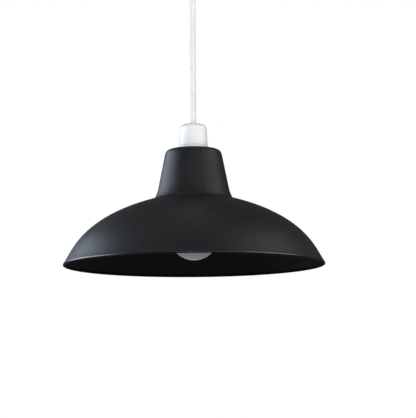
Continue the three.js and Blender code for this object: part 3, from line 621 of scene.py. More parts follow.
def flex():
    """The sheath as one tube, from the rose's outlet to the cap. Gives it and the line it follows."""
    top, foot = outlet + FLEX_IN_ROSE, cap_top - FLEX_IN_CAP
    tip_size = 1 - FLEX_TIP / 4
    levels = [(top, tip_size), (top - FLEX_TIP, 1.0)]
    levels += [(top + (foot - top) * i / FLEX_RINGS, 1.0) for i in range(1, FLEX_RINGS)]
    levels += [(foot + FLEX_TIP, 1.0), (foot, tip_size)]
    points, faces = [], []
    for height, size in levels:
        twist = math.radians(FLEX_START + FLEX_TWIST * (top - height) / (top - foot))
        for k in range(FLEX_SIDES):
            angle = 2 * math.pi * k / FLEX_SIDES
            groove = FLEX_GROOVE * math.exp(-((math.cos(angle) / GROOVE_REACH) ** 2))
            x = FLEX_WIDTH / 2 * math.cos(angle) * size
            y = (FLEX_THICKNESS / 2 - groove) * math.sin(angle) * size
            place = Matrix.Rotation(twist, 2) @ Vector((x, y))
            points.append((*(place * MM), height * MM))
    for level in range(len(levels) - 1):
        for k in range(FLEX_SIDES):
            here, beside = level * FLEX_SIDES + k, level * FLEX_SIDES + (k + 1) % FLEX_SIDES
            faces.append((here, beside, beside + FLEX_SIDES, here + FLEX_SIDES))
    faces += [list(range(FLEX_SIDES)), list(range(len(points) - FLEX_SIDES, len(points)))]
    mesh = bpy.data.meshes.new("flex_sheath")
    mesh.from_pydata(points, [], faces)
    mesh.materials.append(sheath_pvc)
    made = piece_of("flex_sheath", mesh, node="flex")
    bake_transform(made)
    return made, [(0, 0, height * MM) for height, _ in levels]


flex_sheath, flex_path = flex()

# ---------------------------------------------------------------- shade
SHADE_RADIUS = 150
SHADE_WALL = 1.0
BEAD = 1.3  # radius of the rolled rim
NECK_TOP, NECK_FOOT, NECK_HEIGHT, NECK_ROUND = 31.9, 41, 46, 6.3
FILLET_RISE, FILLET_SPREAD = 11.7, 4.9
FILLET_START, FILLET_END = 1, 3.6  # how far it keeps the dome's slope, and the neck's
HOLE = 20  # radius of the hole in the top plate
RIM_SLOPE, RIM_PULL = math.radians(57.6), 0.26
SHOULDER_SLOPE, SHOULDER_PULL = math.radians(15.1), 0.84
DOME_IN_BEAD = 0.4  # foot of the dome inside the widest point
BLACK, INSIDE, RIM = range(3)  # the shade's three finishes
FACES_IN, FACES_DOWN = -0.2, -0.9  # how far a face turns in, or down, to belong to the inside
LEVEL = 0.02  # how far a face may lean and still count as upright


def shade_finish(face):
    """Which finish a face of the shade has: the darkened painted-shade coat inside it and under the
    rolled rim, smooth round the rim, satin elsewhere.
    """
    reach = math.hypot(face.center.x, face.center.y)
    outwards = (face.normal.x * face.center.x + face.normal.y * face.center.y) / reach
    if face.center.z > (rim + 2 * BEAD) * MM:
        return INSIDE if outwards < FACES_IN or face.normal.z < FACES_DOWN else BLACK
    # Faces of the rolled rim that look down take the darker inside coat, as painted shade under the rim.
    return RIM if outwards > 0 and face.normal.z > -LEVEL else INSIDE


def shade():
    """One spun wall from the hole in its top to the bead round its rim."""
    neck_foot = seat - NECK_HEIGHT
    edge_radius, edge = NECK_FOOT + FILLET_SPREAD, neck_foot - FILLET_RISE
    rim_pull = RIM_PULL * (edge - rim)
    shoulder_pull = SHOULDER_PULL * (SHADE_RADIUS - edge_radius)
    lean = (NECK_FOOT - NECK_TOP) / NECK_HEIGHT
    dome = curve(
        [
            (SHADE_RADIUS - DOME_IN_BEAD, rim + BEAD + 1),
            (SHADE_RADIUS - rim_pull * math.cos(RIM_SLOPE), rim + rim_pull * math.sin(RIM_SLOPE)),
            (
                edge_radius + shoulder_pull * math.cos(SHOULDER_SLOPE),
                edge - shoulder_pull * math.sin(SHOULDER_SLOPE),
            ),
            (edge_radius, edge),
        ],
        44,
    )
    fillet = curve(
        [
            (edge_radius, edge),
            (edge_radius - FILLET_START, edge + FILLET_START * math.tan(SHOULDER_SLOPE)),
            (NECK_FOOT + lean * FILLET_END, neck_foot - FILLET_END),
            (NECK_FOOT, neck_foot),
        ],
        16,
    )
    corner = [
        (NECK_TOP + lean * NECK_ROUND, seat - NECK_ROUND),
        (NECK_TOP, seat),
        (NECK_TOP - NECK_ROUND, seat),
    ]
    top_round = curve(corner, 12)
    start = Vector(fillet[-1])
    side = [tuple(start.lerp(Vector(top_round[0]), i / 8)) for i in range(1, 8)]
    outer = dome + fillet[1:] + side + top_round + [(HOLE + 0.3, seat), (HOLE, seat - 0.2)]
    inner = inset(outer[:-1], SHADE_WALL)[:-1] + [(HOLE, seat - SHADE_WALL)]
    bead = arc(SHADE_RADIUS - BEAD, rim + BEAD, BEAD, 170, 365, 26)
    mesh = turned("shade_spun", bead + outer + inner[::-1], powder_coat, sides=192)
    mesh.materials.append(shaded_inner_coat)
    mesh.materials.append(rim_coat)
    for face in mesh.polygons:
        face.material_index = shade_finish(face)
    piece_of("shade_spun", mesh, "shade", "shade")


shade()

# ---------------------------------------------------------------- lampholder
THREAD_PITCH, THREAD_DEPTH = 2.5, 0.55
CAP_PITCH = 1.5
BARREL = 14.5
BORE = 11.5
SLOT_OUTSIDE = 13.5  # radius that the bayonet slots are cut out to
FLANGE = 16.8
SPIGOT_HEIGHT = 4.5
CAP_RADIUS, CAP_TAPER, CAP_WALL = 16.7, 1.1, 2
SHOULDER_WIDTH, SHOULDER_HEIGHT, CROWN = 8, 5.2, 0.9
FLEX_HOLE = 4.6
LIP_POINTS = 5  # points round the cap's hole that its inner wall leaves out
PIN_HEIGHT = 7.2  # where a bayonet pin rests, above the mouth
SLOT_HALF = 1.3  # half a slot's width
SLOT_RISE = 3.8  # room over a pin, to push the lamp up
UNLOCK = 20  # degrees


def lampholder_cap():
    """The screw-on cap, with a soft shoulder, a small crown round the flex and a thread inside."""
    side = CAP_RADIUS - CAP_TAPER
    shoulder = (SHOULDER_WIDTH, SHOULDER_HEIGHT)
    outer = [(CAP_RADIUS - 0.3, cap_foot), (CAP_RADIUS, cap_foot + 0.3)]
    outer += arc(side - SHOULDER_WIDTH, cap_top - CROWN - SHOULDER_HEIGHT, shoulder, 0, 86, 16)
    outer += curve([(6.4, cap_top - 0.75), (5.4, cap_top), (FLEX_HOLE + 0.5, cap_top)], 6)
    outer += [(FLEX_HOLE, cap_top - 0.4)]
    wall = inset(outer[1:-1], CAP_WALL)[:-LIP_POINTS]
    inner = [(FLEX_HOLE, cap_top - CAP_WALL), *wall[::-1], (CAP_RADIUS - CAP_WALL, cap_foot)]
    shell = turned("lampholder_cap_shell", outer + inner, white_resin, sides=128)
    bore = CAP_RADIUS - CAP_WALL
    thread = helix("cap_thread", bore, CAP_PITCH, 2, cap_foot + 0.7, 0.2, 0.4, white_resin)
    whole = together("lampholder_cap_shell", shell, thread)
    piece_of("lampholder_cap_shell", whole, "lampholder", "lampholder_cap")


def lampholder_body():
    """A threaded barrel with a flange, a spigot for the cap, and two hooked slots in its bore."""
    spigot = CAP_RADIUS - CAP_WALL - 0.4
    block_top = flange_top + SPIGOT_HEIGHT
    root = BARREL - THREAD_DEPTH
    outline = rounded(
        [
            (BORE, mouth),
            (BARREL - 0.3, mouth),
            (root, mouth + 2.2),
            (root, flange_foot - 0.8),
            (BARREL, flange_foot),
            (FLANGE, flange_foot),
            (FLANGE, flange_top),
            (spigot, flange_top),
            (spigot, block_top),
            (BORE, block_top),
        ],
        0.4,
    )
    solid = turned("lampholder_barrel", outline, white_resin, sides=128)
    pin = mouth + PIN_HEIGHT
    tools = []
    half = math.degrees(SLOT_HALF / BORE)
    for locked in (90, 270):
        free = locked - UNLOCK
        entry = sector(BORE - 2, SLOT_OUTSIDE, free - half, free + half)
        leg = sector(BORE - 2, SLOT_OUTSIDE - 0.02, free - half, locked + half)
        tools.append(prism("entry", entry, mouth - 1, pin + SLOT_RISE))
        tools.append(prism("leg", leg, pin - SLOT_HALF, pin + SLOT_RISE + 0.02))
    solid = shaped(solid, *tools)
    thread_foot = mouth + 2.6
    turns = (flange_foot - 2.6 - thread_foot) / THREAD_PITCH
    thread = helix("thread", root + 0.02, THREAD_PITCH, turns, thread_foot, 0.5, 0.75, white_resin)
    upper = helix("spigot_thread", spigot, CAP_PITCH, 2, flange_top + 1.1, 0.15, 0.4, white_resin)
    whole = together("lampholder_barrel", solid, thread, upper)
    piece_of("lampholder_barrel", whole, "lampholder", "lampholder_body")


lampholder_cap()
lampholder_body()

# ---------------------------------------------------------------- terminals, plungers and springs
HANDS = (("left", -1), ("right", 1))
POST_PLACE = 5.6  # each post's distance from the axis
POST = 3.4
PLUNGER = 2
WIRE_HOLE = 1.5
CORE, CORE_PLACE = 1.2, 1.6  # radius of a core, and its distance from the axis where it leaves the sheath
SPRING_GAUGE, SPRING_TURNS = 0.28, 5
SCREW_HEAD, SCREW_HEAD_HEIGHT, SCREW_SHANK, SCREW_HOLE = 2.2, 1.8, 1.3, 1.6
SCREW_PITCH, SCREW_THREAD = 0.5, 0.15


def screw(name, length):
    """A slotted cheese-headed screw up the Z axis, with the face of its head at the origin."""
    core = SCREW_SHANK - SCREW_THREAD
    outline = [
        (0, 0),
        *curve([(SCREW_HEAD - 0.35, 0), (SCREW_HEAD, 0), (SCREW_HEAD, 0.35)], 4),
        (SCREW_HEAD, SCREW_HEAD_HEIGHT - 0.1),
        (SCREW_HEAD - 0.1, SCREW_HEAD_HEIGHT),
        (core, SCREW_HEAD_HEIGHT),
        (core, length - 0.4),
        (core - 0.4, length),
        (0, length),
    ]
    solid = turned(name, outline, turned_brass, sides=48, closed=False)
    slot = prism("slot", oblong(0, 0, 0.7, 3 * SCREW_HEAD, corner=0.02), -1, 0.75)
    turns = (length - SCREW_HEAD_HEIGHT - 0.7) / SCREW_PITCH
    foot = SCREW_HEAD_HEIGHT + 0.3
    thread = helix("thread", core, SCREW_PITCH, turns, foot, SCREW_THREAD, 0.2, turned_brass)
    return together(name, shaped(solid, slot), thread)


def terminal_post(hand, side):
    """A brass post with a bore for its plunger and a wire hole, and its clamping screw from the side."""
    node = f"terminal_post_{hand}"
    block_foot, block_top = heights("terminal_block")
    bore_top = heights(f"plunger_spring_{hand}")[1] + GAP
    top = heights(node)[1]
    bore = PLUNGER + GAP
    outline = rounded(
        [
            (0, bore_top),
            (bore, bore_top),
            (bore, block_foot),
            (POST, block_foot),
            (POST, top),
            (WIRE_HOLE, top),
            (WIRE_HOLE, block_top - GAP),
            (0, block_top - GAP),
        ],
        0.25,
    )
    post = turned(node, outline, turned_brass, sides=48, closed=False)
    screw_low, screw_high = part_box(f"terminal_screw_{hand}")
    screw_height = (screw_low.z + screw_high.z) / 2 / MM
    hole = prism("hole", disc(0, 0, SCREW_HOLE), 0, POST + 1)
    sideways = moved(hole, (0, 0, screw_height), 90 * side, "Y")
    placed = moved(shaped(post, sideways), (side * POST_PLACE, 0, 0))
    piece_of(f"brass_post_{hand}", placed, "lampholder", node)

    head_end = (screw_low.x if side < 0 else screw_high.x) / MM
    length = (screw_high.x - screw_low.x) / MM
    name = f"brass_post_screw_{hand}"
    turned_in = moved(screw(name, length), (head_end, 0, screw_height), -90 * side, "Y")
    piece_of(name, turned_in, "lampholder", f"terminal_screw_{hand}")


def terminal_block():
    """The round block across the barrel's bore, with a hole for each post."""
    foot, top = heights("terminal_block")
    rim_radius = BORE - GAP
    outline = rounded([(0, foot), (rim_radius, foot), (rim_radius, top), (0, top)], 0.35)
    block = turned("terminal_block_moulded", outline, white_resin, sides=96, closed=False)
    circles = [disc(side * POST_PLACE, 0, POST + GAP) for _, side in HANDS]
    pierced = shaped(block, *[prism("hole", circle, foot - 1, top + 1) for circle in circles])
    piece_of("terminal_block_moulded", pierced, "lampholder", "terminal_block")


def plunger(hand, side):
    """A round-nosed brass pin with a waist, and the spring that pushes it down."""
    foot, top = heights(f"plunger_{hand}")
    waist = top - 2.2
    outline = arc(0, foot + PLUNGER, PLUNGER, -90, 0, 10)
    outline += [(PLUNGER, waist - 0.6), (PLUNGER - 0.3, waist - 0.3), (PLUNGER - 0.3, waist + 0.3)]
    outline += [(PLUNGER, waist + 0.6), (PLUNGER, top - 0.2), (PLUNGER - 0.2, top), (0, top)]
    pin = turned(f"brass_plunger_{hand}", outline, turned_brass, sides=48, closed=False)
    placed = moved(pin, (side * POST_PLACE, 0, 0))
    piece_of(f"brass_plunger_{hand}", placed, "plungers", f"plunger_{hand}")

    foot, top = heights(f"plunger_spring_{hand}")
    coil = helix(
        f"coil_spring_{hand}",
        PLUNGER - SPRING_GAUGE,
        (top - foot - 2 * SPRING_GAUGE) / SPRING_TURNS,
        SPRING_TURNS,
        foot + SPRING_GAUGE,
        SPRING_GAUGE,
        SPRING_GAUGE,
        spring_wire,
        corners=10,
        run_out=0.02,
    )
    node = f"plunger_spring_{hand}"
    placed = moved(coil, (side * POST_PLACE, 0, 0))
    made = piece_of(f"coil_spring_{hand}", placed, "lampholder", node)
    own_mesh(made)


def lampholder_core(pole, side, material):
    """From the end of the sheath down into its post."""
    node = f"lampholder_core_{pole}"
    foot, top = heights(node)
    post_top = heights("terminal_post_left")[1]
    near, far = CORE_PLACE * side, POST_PLACE * side
    points = [(near, 0, top), (near, 0, top - 1.5), (far, 0, post_top + 2), (far, 0, foot)]
    wire(f"insulated_core_{pole}", points, CORE, material, node, "lampholder")


for hand, side in HANDS:
    terminal_post(hand, side)
    plunger(hand, side)
terminal_block()
lampholder_core("live", -1, brown_pvc)
lampholder_core("neutral", 1, blue_pvc)

# ---------------------------------------------------------------- reducer and shade ring
RING_BORE = 14.8
RING_RADIUS = 18.6
RING_RIBS = 32
RING_FLANGE = 2.4
REDUCER_LIP, REDUCER_STEP = 1.2, 3.5  # how thick it is, and how far it reaches under the shade


def reducer():
    """A stepped ring that fills the shade's hole round the barrel."""
    lip_top = seat - SHADE_WALL - GAP
    outline = rounded(
        [
            (RING_BORE, lip_top - REDUCER_LIP),
            (HOLE + REDUCER_STEP, lip_top - REDUCER_LIP),
            (HOLE + REDUCER_STEP, lip_top),
            (HOLE - GAP, lip_top),
            (HOLE - GAP, seat),
            (RING_BORE, seat),
        ],
        0.3,
    )
    mesh = turned("shade_reducer_ring", outline, black_nylon, sides=96)
    piece_of("shade_reducer_ring", mesh, "shade", "shade_reducer")


def shade_ring():
    """The ribbed ring that screws up the barrel under the shade."""
    foot, top = heights("shade_ring")
    bore = RING_BORE + 0.25
    outline = rounded(
        [
            (bore, foot),
            (RING_RADIUS - 0.5, foot),
            (RING_RADIUS - 0.5, top - RING_FLANGE),
            (RING_RADIUS + RING_FLANGE, top - RING_FLANGE),
            (RING_RADIUS + RING_FLANGE, top),
            (bore, top),
        ],
        0.35,
    )
    core = turned("ring_core", outline, black_nylon, sides=128)
    root, side = RING_RADIUS - 0.7, RING_RADIUS - 0.15
    rib = [(root, -0.62), (side, -0.42), (RING_RADIUS, 0), (side, 0.42), (root, 0.62)]
    one_rib = prism("rib", rib, foot + 0.5, top - RING_FLANGE)
    ribs = ring_of("ring_ribs", one_rib, RING_RIBS, black_nylon)
    turns = (top - foot - 2) / THREAD_PITCH
    thread = helix("ring_thread", bore, THREAD_PITCH, turns, foot + 1, 0.35, 0.6, black_nylon)
    both = together("shade_ring_ribbed", core, ribs, thread)
    piece_of("shade_ring_ribbed", both, "shade_ring", "shade_ring")


reducer()
shade_ring()

# ---------------------------------------------------------------- lamp
LAMP = 28.6  # radius of the opal dome
DIFFUSER_WALL = 1.5
EDGE_ANGLE = 30  # degrees above its middle, where the dome meets the housing
HOUSING_WALL = 1.6
SHOULDER_OUT = 2.4  # how far the housing's shoulder stands out round the cap
SLEEVE = 12  # how far the housing goes up inside the cap
LAMP_CAP = 11
CAP_METAL = 0.6
PIN_DROP = 6.8  # from the contacts down to the bayonet pins
CONTACT = 2.6
lamp_centre = heights("lamp_diffuser")[0] + LAMP
lamp_edge = lamp_centre + LAMP * math.sin(math.radians(EDGE_ANGLE))
cap_low, cap_high = heights("lamp_cap")
cap_bore = LAMP_CAP - CAP_METAL


def lamp_dome():
    """The opal diffuser, part of a thin ball."""
    inner_radius = LAMP - DIFFUSER_WALL
    inner_edge = math.degrees(math.asin((lamp_edge - lamp_centre) / inner_radius))
    outer = [(0, lamp_centre - LAMP)] + arc(0, lamp_centre, LAMP, -88, EDGE_ANGLE, 36)
    inner = arc(0, lamp_centre, inner_radius, inner_edge, -88, 30)
    inner += [(0, lamp_centre - inner_radius)]
    dome = turned("lamp_opal_dome", outer + inner, opal, sides=128, closed=False)
    piece_of("lamp_opal_dome", dome, "lamp", "lamp_diffuser")


def lamp_housing():
    """The body above the diffuser, which narrows to a shoulder and a sleeve inside the cap."""
    shoulder = cap_low - GAP
    neck = LAMP_CAP - CAP_METAL - GAP
    top = LAMP_CAP + SHOULDER_OUT
    edge_radius = LAMP * math.cos(math.radians(EDGE_ANGLE))
    pull = 0.4 * (shoulder - lamp_edge)
    lean = (-math.sin(math.radians(EDGE_ANGLE)), math.cos(math.radians(EDGE_ANGLE)))
    outside = curve(
        [
            (edge_radius, lamp_edge + GAP),
            (edge_radius + lean[0] * pull, lamp_edge + lean[1] * pull),
            (top, shoulder - pull),
            (top, shoulder - 0.5),
        ],
        24,
    )
    outside += [(top - 0.15, shoulder - 0.15), (top - 0.5, shoulder)]
    outside += [(neck, shoulder), (neck, shoulder + SLEEVE - 0.4), (neck - 0.4, shoulder + SLEEVE)]
    inside = [(neck - HOUSING_WALL, shoulder + SLEEVE), (neck - HOUSING_WALL, shoulder - HOUSING_WALL)]
    inside += curve(
        [
            (top - HOUSING_WALL, shoulder - HOUSING_WALL),
            (top - HOUSING_WALL, shoulder - pull),
            (edge_radius - HOUSING_WALL + lean[0] * pull, lamp_edge + lean[1] * pull),
            (edge_radius - HOUSING_WALL, lamp_edge + GAP),
        ],
        20,
    )
    housing = turned("lamp_housing_moulded", outside + inside, lamp_plastic, sides=128)
    piece_of("lamp_housing_moulded", housing, "lamp", "lamp_housing")


def lamp_cap():
    """The pressed shell with a rolled foot, a ring of crimps and two bayonet pins."""
    outline = [
        (cap_bore, cap_low),
        (LAMP_CAP + 0.5, cap_low),
        (LAMP_CAP + 0.7, cap_low + 0.3),
        *curve([(LAMP_CAP + 0.6, cap_low + 0.8), (LAMP_CAP, cap_low + 1.1), (LAMP_CAP, cap_low + 2)], 5),
        *curve([(LAMP_CAP, cap_high - 1.2), (LAMP_CAP, cap_high), (LAMP_CAP - 1.2, cap_high)], 6),
        (cap_bore - 1, cap_high),
        (cap_bore - 1, cap_high - CAP_METAL),
        (cap_bore, cap_high - 1.4),
    ]
    shell = turned("lamp_cap_pressed", outline, pressed_aluminium, sides=96)
    pin_height = heights("lamp_contact_left")[1] - PIN_DROP
    shape = [(0, 0), (1, 0), (1, 3.3), (0.85, 3.55), (0, 3.6)]
    pin = turned("pin", shape, pressed_aluminium, 24, closed=False)
    pins = [moved(pin, (0, side * (cap_bore - 0.8), pin_height), -90 * side) for side in (-1, 1)]
    shape = arc(0, 0, (0.9, 0.35), 0, 90, 5) + [(0, -0.2), (0.9, -0.2)]
    dimple = moved(turned("dimple", shape, pressed_aluminium, 12), (LAMP_CAP, 0, cap_low + 5), 90, "Y")
    crimps = ring_of("crimps", dimple, 8, pressed_aluminium)
    metal = together("lamp_cap_pressed", shell, *pins, crimps)
    piece_of("lamp_cap_pressed", metal, "lamp", "lamp_cap")


def lamp_insulator():
    """The glass disc in the cap's end, stepped up through its opening."""
    low, top = heights("lamp_insulator")
    side, step = cap_bore - GAP, top - 0.95
    shape = [(0, low), (side, low), (side, step), (side - 1.3, step)]
    shape += curve([(side - 1.5, top - 0.5), (side - 1.7, top), (side - 2.6, top)], 5)
    shape += [(0, top)]
    glass = turned("lamp_cap_glass", shape, vitrite, sides=96, closed=False)
    piece_of("lamp_cap_glass", glass, "lamp", "lamp_insulator")


def lamp_contact(hand, side):
    """A low round pad of solder on the glass."""
    name = f"solder_pad_{hand}"
    low, high = heights(f"lamp_contact_{hand}")
    shape = [(0, low), (CONTACT, low), (CONTACT, low + 0.2)]
    shape += curve([(2.45, low + 0.4), (2.0, high), (0.8, high)], 5) + [(0, high)]
    pad = moved(turned(name, shape, solder, 32, closed=False), (side * POST_PLACE, 0, 0))
    piece_of(name, pad, "lamp", f"lamp_contact_{hand}")


LED_COUNT, LED_RING, LED = 9, 14.5, 2.8
GLOW = 1.1  # radius of the phosphor on an LED
LED_BOARD = 20.6
BOARD = 1.6
DRIVER_WIDTH = 17
CAPACITOR = 4
LEAD = 0.7
# Each chip on the driver: its place across the board and up it, its width, its height and its depth.
CHIPS = ((-4.5, 22, 5, 4, 1.5), (4, 23, 3, 3, 1.2), (5.5, 6, 2.4, 5, 2.2))


def led_board():
    """A round board with a ring of LED packages, each with its round of phosphor."""
    foot, top = heights("lamp_led_board")
    under = top - BOARD
    outline = rounded([(0, under), (LED_BOARD, under), (LED_BOARD, top), (0, top)], 0.15)
    board = turned("board", outline, solder_mask, sides=96, closed=False)
    square = oblong(LED_RING, 0, LED, LED)
    package = softened(prism("package", square, foot, under + 0.1, white_resin), 0.1)
    face, root = foot - 0.05, foot + 0.1
    shape = [(0, face), (GLOW - 0.2, face), (GLOW, root), (0, root)]
    glow = turned("glow", shape, phosphor, 24, closed=False)
    whole = together(
        "led_board_round",
        board,
        ring_of("packages", package, LED_COUNT, white_resin),
        ring_of("glows", moved(glow, (LED_RING, 0, 0)), LED_COUNT, phosphor),
    )
    piece_of("led_board_round", whole, "lamp", "lamp_led_board")


def driver_board():
    """The driver board with its chips and its choke on one side."""
    foot, top = heights("lamp_driver_board")
    face = -BOARD / 2
    flat = oblong(0, 0, DRIVER_WIDTH, BOARD, corner=0.1)
    board = softened(prism("board", flat, foot, top, fibre_board), 0.1)
    chips = []
    for x, low, width, height, depth in CHIPS:
        corners = oblong(x, face - depth / 2 + 0.05, width, depth + 0.1, corner=0.1)
        chips.append(softened(prism("chip", corners, foot + low, foot + low + height, vitrite), 0.15))
    corners = oblong(-1.5, face - 3.2, 8, 6.4, corner=0.8)
    choke = softened(prism("choke", corners, foot + 8, foot + 18, black_nylon), 0.3)
    whole = together("driver_board_fitted", board, *chips, choke)
    piece_of("driver_board_fitted", whole, "lamp", "lamp_driver_board")


def capacitor():
    """A sleeved can on the other side of the driver board, with a groove rolled near its end."""
    low, high = heights("lamp_driver_capacitor")
    groove = high - 2
    outline = [
        (0, low + 0.25),
        (CAPACITOR - 0.9, low + 0.25),
        (CAPACITOR - 0.9, low),
        *curve([(CAPACITOR - 0.4, low), (CAPACITOR, low), (CAPACITOR, low + 0.4)], 4),
        *curve([(CAPACITOR, groove - 0.6), (CAPACITOR - 0.7, groove), (CAPACITOR, groove + 0.6)], 6),
        *curve([(CAPACITOR, high - 0.5), (CAPACITOR, high), (CAPACITOR - 0.5, high)], 4),
        (CAPACITOR - 1, high - 0.2),
        (0, high - 0.2),
    ]
    can = turned("capacitor_can", outline, shrink_sleeve, sides=48, closed=False)
    placed = moved(can, (0, BOARD / 2 + GAP + CAPACITOR, 0))
    piece_of("capacitor_can", placed, "lamp", "lamp_driver_capacitor")


def lamp_lead(hand, side):
    """A wire from the driver up to its contact, bowed a little."""
    foot, top = heights(f"lamp_lead_{hand}")
    points = [(3 * side, 0, top), (4 * side, 1, (foot + top) / 2), (3 * side, 0, foot)]
    wire(f"lead_wire_{hand}", points, LEAD, brown_pvc, f"lamp_lead_{hand}", "lamp")


lamp_dome()
lamp_housing()
lamp_cap()
lamp_insulator()
for hand, side in HANDS:
    lamp_contact(hand, side)
led_board()
driver_board()
capacitor()
for hand, side in HANDS:
    lamp_lead(hand, side)

# ---------------------------------------------------------------- ceiling rose
ROSE_RADIUS = 41
ROSE_WALL = 2
ROSE_SIDE = 11
COVER_LUG = -6.7  # foot of the lugs inside the cover
LUG_COUNT, LUG_ANGLE, LUG = 3, 18, 2
BASE = 36
BASE_PLATE, BASE_RIM, BASE_DEPTH = 3.5, 2.2, 9
LUG_REACH = 1.7
FIXING = 25.5  # each fixing slot's distance from the middle
FIXING_WIDTH, FIXING_LENGTH = 4.8, 9
ENTRY, ENTRY_PLACE = 7, 19
RIDGE_LENGTH, RIDGE_WIDTH, RIDGE_HEIGHT = 42, 11, 2.5
PEG, PEG_PLACE, PEG_HEIGHT = 2, 9, 9
POLES = {"live": -13, "loop": 0, "neutral": 13}
TERMINAL_WIDTH, TERMINAL_LENGTH = 8, 9
RIB_COUNT, RIB_FOOT, RIB_TOP = 60, -8.5, -2


def lugs(inner, outer, foot):
    """Three bayonet lugs, each part of a ring."""
    corners = sector(inner, outer, 90 - LUG_ANGLE / 2, 90 + LUG_ANGLE / 2)
    lug = softened(prism("lug", corners, foot, foot + LUG, shaded_rose_resin), 0.25)
    return ring_of("lugs", lug, LUG_COUNT, shaded_rose_resin)


def rose_cover():
    """A domed cover with a fine line of grip ribs round its side, and lugs inside."""
    foot, top = outlet, heights("rose_cover")[1]
    dome = curve(
        [
            (8, foot),
            (ROSE_RADIUS * 0.62, foot + 1),
            (ROSE_RADIUS - 2, foot + (-outlet - ROSE_SIDE) * 0.35),
            (ROSE_RADIUS - 1, -ROSE_SIDE),
        ],
        32,
    )
    lip = [(FLEX_HOLE, foot + 0.4), (FLEX_HOLE + 0.4, foot)]
    outer = [*lip, *dome, (ROSE_RADIUS, top - 0.4), (ROSE_RADIUS - 0.4, top)]
    inside = ROSE_RADIUS - ROSE_WALL
    inner = [(inside, top), *inset(dome, ROSE_WALL)[::-1], (FLEX_HOLE, foot + ROSE_WALL)]
    shell = turned("rose_cover_shell", outer + inner, shaded_rose_resin, sides=160)
    side = ROSE_RADIUS - 0.75
    rib = [(side - 0.5, -0.7), (side, -0.4), (side + 0.35, 0), (side, 0.4), (side - 0.5, 0.7)]
    one_rib = softened(prism("rib", rib, RIB_FOOT, RIB_TOP), 0.12)
    ribs = ring_of("ribs", one_rib, RIB_COUNT, shaded_rose_resin)
    whole = together("rose_cover_shell", shell, ribs, lugs(BASE + GAP, inside + 0.5, COVER_LUG))
    return piece_of("rose_cover_shell", whole, "cover", "rose_cover")


def rose_base():
    """The backplate, with its rim, terminal ridge, pegs, lugs, cable entry and countersunk slots."""
    inner = BASE - BASE_RIM
    outline = [(0, -BASE_PLATE), (inner, -BASE_PLATE), (inner, -BASE_DEPTH)]
    outline += [(BASE, -BASE_DEPTH), (BASE, 0), (0, 0)]
    plate = turned("rose_base_moulded", rounded(outline, 0.5), shaded_rose_resin, sides=128, closed=False)
    ridge_foot = -BASE_PLATE - RIDGE_HEIGHT
    corners = oblong(0, 0, RIDGE_LENGTH, RIDGE_WIDTH, corner=1.5)
    ridge = softened(prism("ridge", corners, ridge_foot, -BASE_PLATE + 1, shaded_rose_resin), 0.4)
    root = PEG_HEIGHT + 1
    outline = [(0, 0), *curve([(PEG - 0.6, 0), (PEG, 0), (PEG, 0.6)], 4), (PEG + 0.2, root), (0, root)]
    peg = turned("peg", outline, shaded_rose_resin, sides=32, closed=False)
    pegs = [moved(peg, (x, -PEG_PLACE, -BASE_PLATE - PEG_HEIGHT)) for x in (-PEG_PLACE, PEG_PLACE)]
    whole = shaped(plate, ridge, *pegs, operation="UNION")
    cuts = [prism("entry", disc(0, ENTRY_PLACE, ENTRY), -BASE_PLATE - 1, 1)]
    for x in (-FIXING, FIXING):
        slot = oblong(x, 0, FIXING_WIDTH, FIXING_LENGTH, corner=FIXING_WIDTH / 2 - 0.05, steps=8)
        sink = oblong(x, 0, FIXING_WIDTH + 4, FIXING_LENGTH + 4, corner=FIXING_WIDTH / 2 + 1.9, steps=8)
        cuts.append(prism("slot", slot, -BASE_PLATE - 1, 1))
        cuts.append(prism("sink", sink, -BASE_PLATE - 0.5, -BASE_PLATE + 1.8, shrink=0.6))
    turned_lugs = lugs(inner + 1, BASE + LUG_REACH, -BASE_DEPTH)
    whole = together("rose_base_moulded", shaped(whole, *cuts), turned_lugs)
    piece_of("rose_base_moulded", whole, "rose", "rose_base")


def rose_terminals():
    """Brass blocks, each with a wire hole through it and a clamping screw from below."""
    for pole, x in POLES.items():
        node, screw_node = f"rose_terminal_{pole}", f"rose_terminal_screw_{pole}"
        foot, top = heights(node)
        middle = (foot + top) / 2
        corners = oblong(x, 0, TERMINAL_WIDTH, TERMINAL_LENGTH, corner=0.6)
        block = softened(prism(node, corners, foot, top, turned_brass), 0.3)
        wire_hole = moved(prism("hole", disc(0, 0, WIRE_HOLE), -9, 9), (x, 0, middle), 90)
        screw_hole = prism("hole", disc(x, 0, SCREW_HOLE), foot - 1, middle)
        piece_of(f"brass_block_{pole}", shaped(block, wire_hole, screw_hole), "rose", node)
        foot, top = heights(screw_node)
        name = f"brass_block_screw_{pole}"
        piece_of(name, moved(screw(name, top - foot), (x, 0, foot)), "rose", screw_node)


def rose_core(pole, side, material):
    """From the end of the sheath, round a peg, into its terminal."""
    node = f"rose_core_{pole}"
    terminal_foot, terminal_top = heights(f"rose_terminal_{pole}")
    hole = (terminal_foot + terminal_top) / 2
    start = heights("flex_end_rose")[1] + GAP
    front = -PEG_PLACE - PEG
    x = POLES[pole]
    points = [
        (CORE_PLACE * side, 0, start),
        (CORE_PLACE * side, 0, start + 2),
        (7 * side, front - 3, terminal_foot - 1),
        ((PEG_PLACE + PEG + 1.8) * side, front - 1, hole),
        (x, -TERMINAL_LENGTH / 2 - 1, hole),
        (x, TERMINAL_LENGTH / 2 - 1, hole),
    ]
    wire(f"insulated_rose_core_{pole}", points, CORE, material, node, "rose")


def flex_ends():
    """The two cut ends of the sheath, held in the rose and in the cap."""
    made = []
    for place in ("rose", "lampholder"):
        foot, top = heights(f"flex_end_{place}")
        radius = FLEX_WIDTH / 2
        outline = rounded([(0, foot), (radius, foot), (radius, top), (0, top)], 0.3)
        name = f"sheath_end_{place}"
        end = turned(name, outline, sheath_pvc, sides=48, closed=False)
        made.append(piece_of(name, end, place, f"flex_end_{place}"))
    return made


cover = rose_cover()
rose_base()
rose_terminals()
rose_core("live", -1, brown_pvc)
rose_core("neutral", 1, blue_pvc)
sheath_ends = flex_ends()


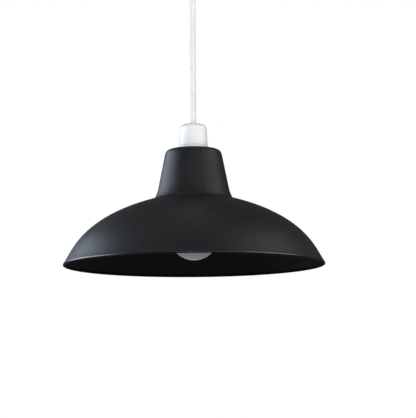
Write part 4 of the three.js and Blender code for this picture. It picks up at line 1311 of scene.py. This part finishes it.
# ---------------------------------------------------------------- studio
AIM = 60  # how far above the rim the lights are aimed
SURROUND = 0.1  # strength of the white all round, for everything but the camera


def light(name, direction, distance, size, power, tone="#ffffff"):
    """A soft box that faces the shade from a direction, seen only in reflections."""
    data = bpy.data.lights.new(name, "AREA")
    data.shape = "RECTANGLE"
    data.size, data.size_y = size
    data.energy = power
    data.color = colour(tone)[:3]
    made = object_of(name, data)
    target = Vector((0, 0, (rim + AIM) * MM))
    away = Vector(direction).normalized()
    made.location = target + away * distance
    made.rotation_euler = away.to_track_quat("Z", "Y").to_euler()
    made.visible_camera = False


light("key", (-0.96, 0.27, 0.2), 1.8, (2.2, 1.6), 44, "#e1eeff")
light("fill", (0.94, -0.2, 0.6), 2.4, (2.2, 2.0), 20, "#f2f8ff")
light("front", (0.2, -1.0, -0.1), 2.6, (2.8, 0.8), 58)
light("overhead", (-0.1, -0.1, 1.0), 2.2, (2.2, 2.2), 4)


def world():
    """White behind the light for the camera, and dim for what it lights."""
    made = bpy.data.worlds.new("studio")
    made.use_nodes = True
    tree = made.node_tree
    backdrop = tree.nodes["Background"]
    backdrop.inputs["Color"].default_value = colour("#ffffff")
    to_camera = add(tree, "ShaderNodeLightPath").outputs["Is Camera Ray"]
    levels = {"Value": to_camera, "To Min": SURROUND, "To Max": 1.0}
    strength = add(tree, "ShaderNodeMapRange", levels).outputs[0]
    tree.links.new(strength, backdrop.inputs["Strength"])
    scene.world = made
    scene.view_settings.view_transform = "Standard"


world()

FLOOR_DROP = 900  # below the rim
FLOOR_RADIUS = 2600
FLOOR_SIDES = 96
FLOOR_GLOW = 0.5  # keeps the floor pale where the lights don't reach


def floor():
    """A pale disc well below the light."""
    mesh = bpy.data.meshes.new("floor")
    height = (rim - FLOOR_DROP) * MM
    points = [(x * MM, y * MM, height) for x, y in disc(0, 0, FLOOR_RADIUS, FLOOR_SIDES)]
    mesh.from_pydata(points, [], [list(range(FLOOR_SIDES))])
    paint = surface("pale_matt_paint", "#e2e2e0", "#e7e7e5", (0.7, 0.8), 300, 20, 0.1)
    shader = paint.node_tree.nodes["Principled BSDF"]
    shader.inputs["Emission Color"].default_value = colour("#f4f5f6")
    shader.inputs["Emission Strength"].default_value = FLOOR_GLOW
    mesh.materials.append(paint)
    object_of("floor", mesh)


floor()
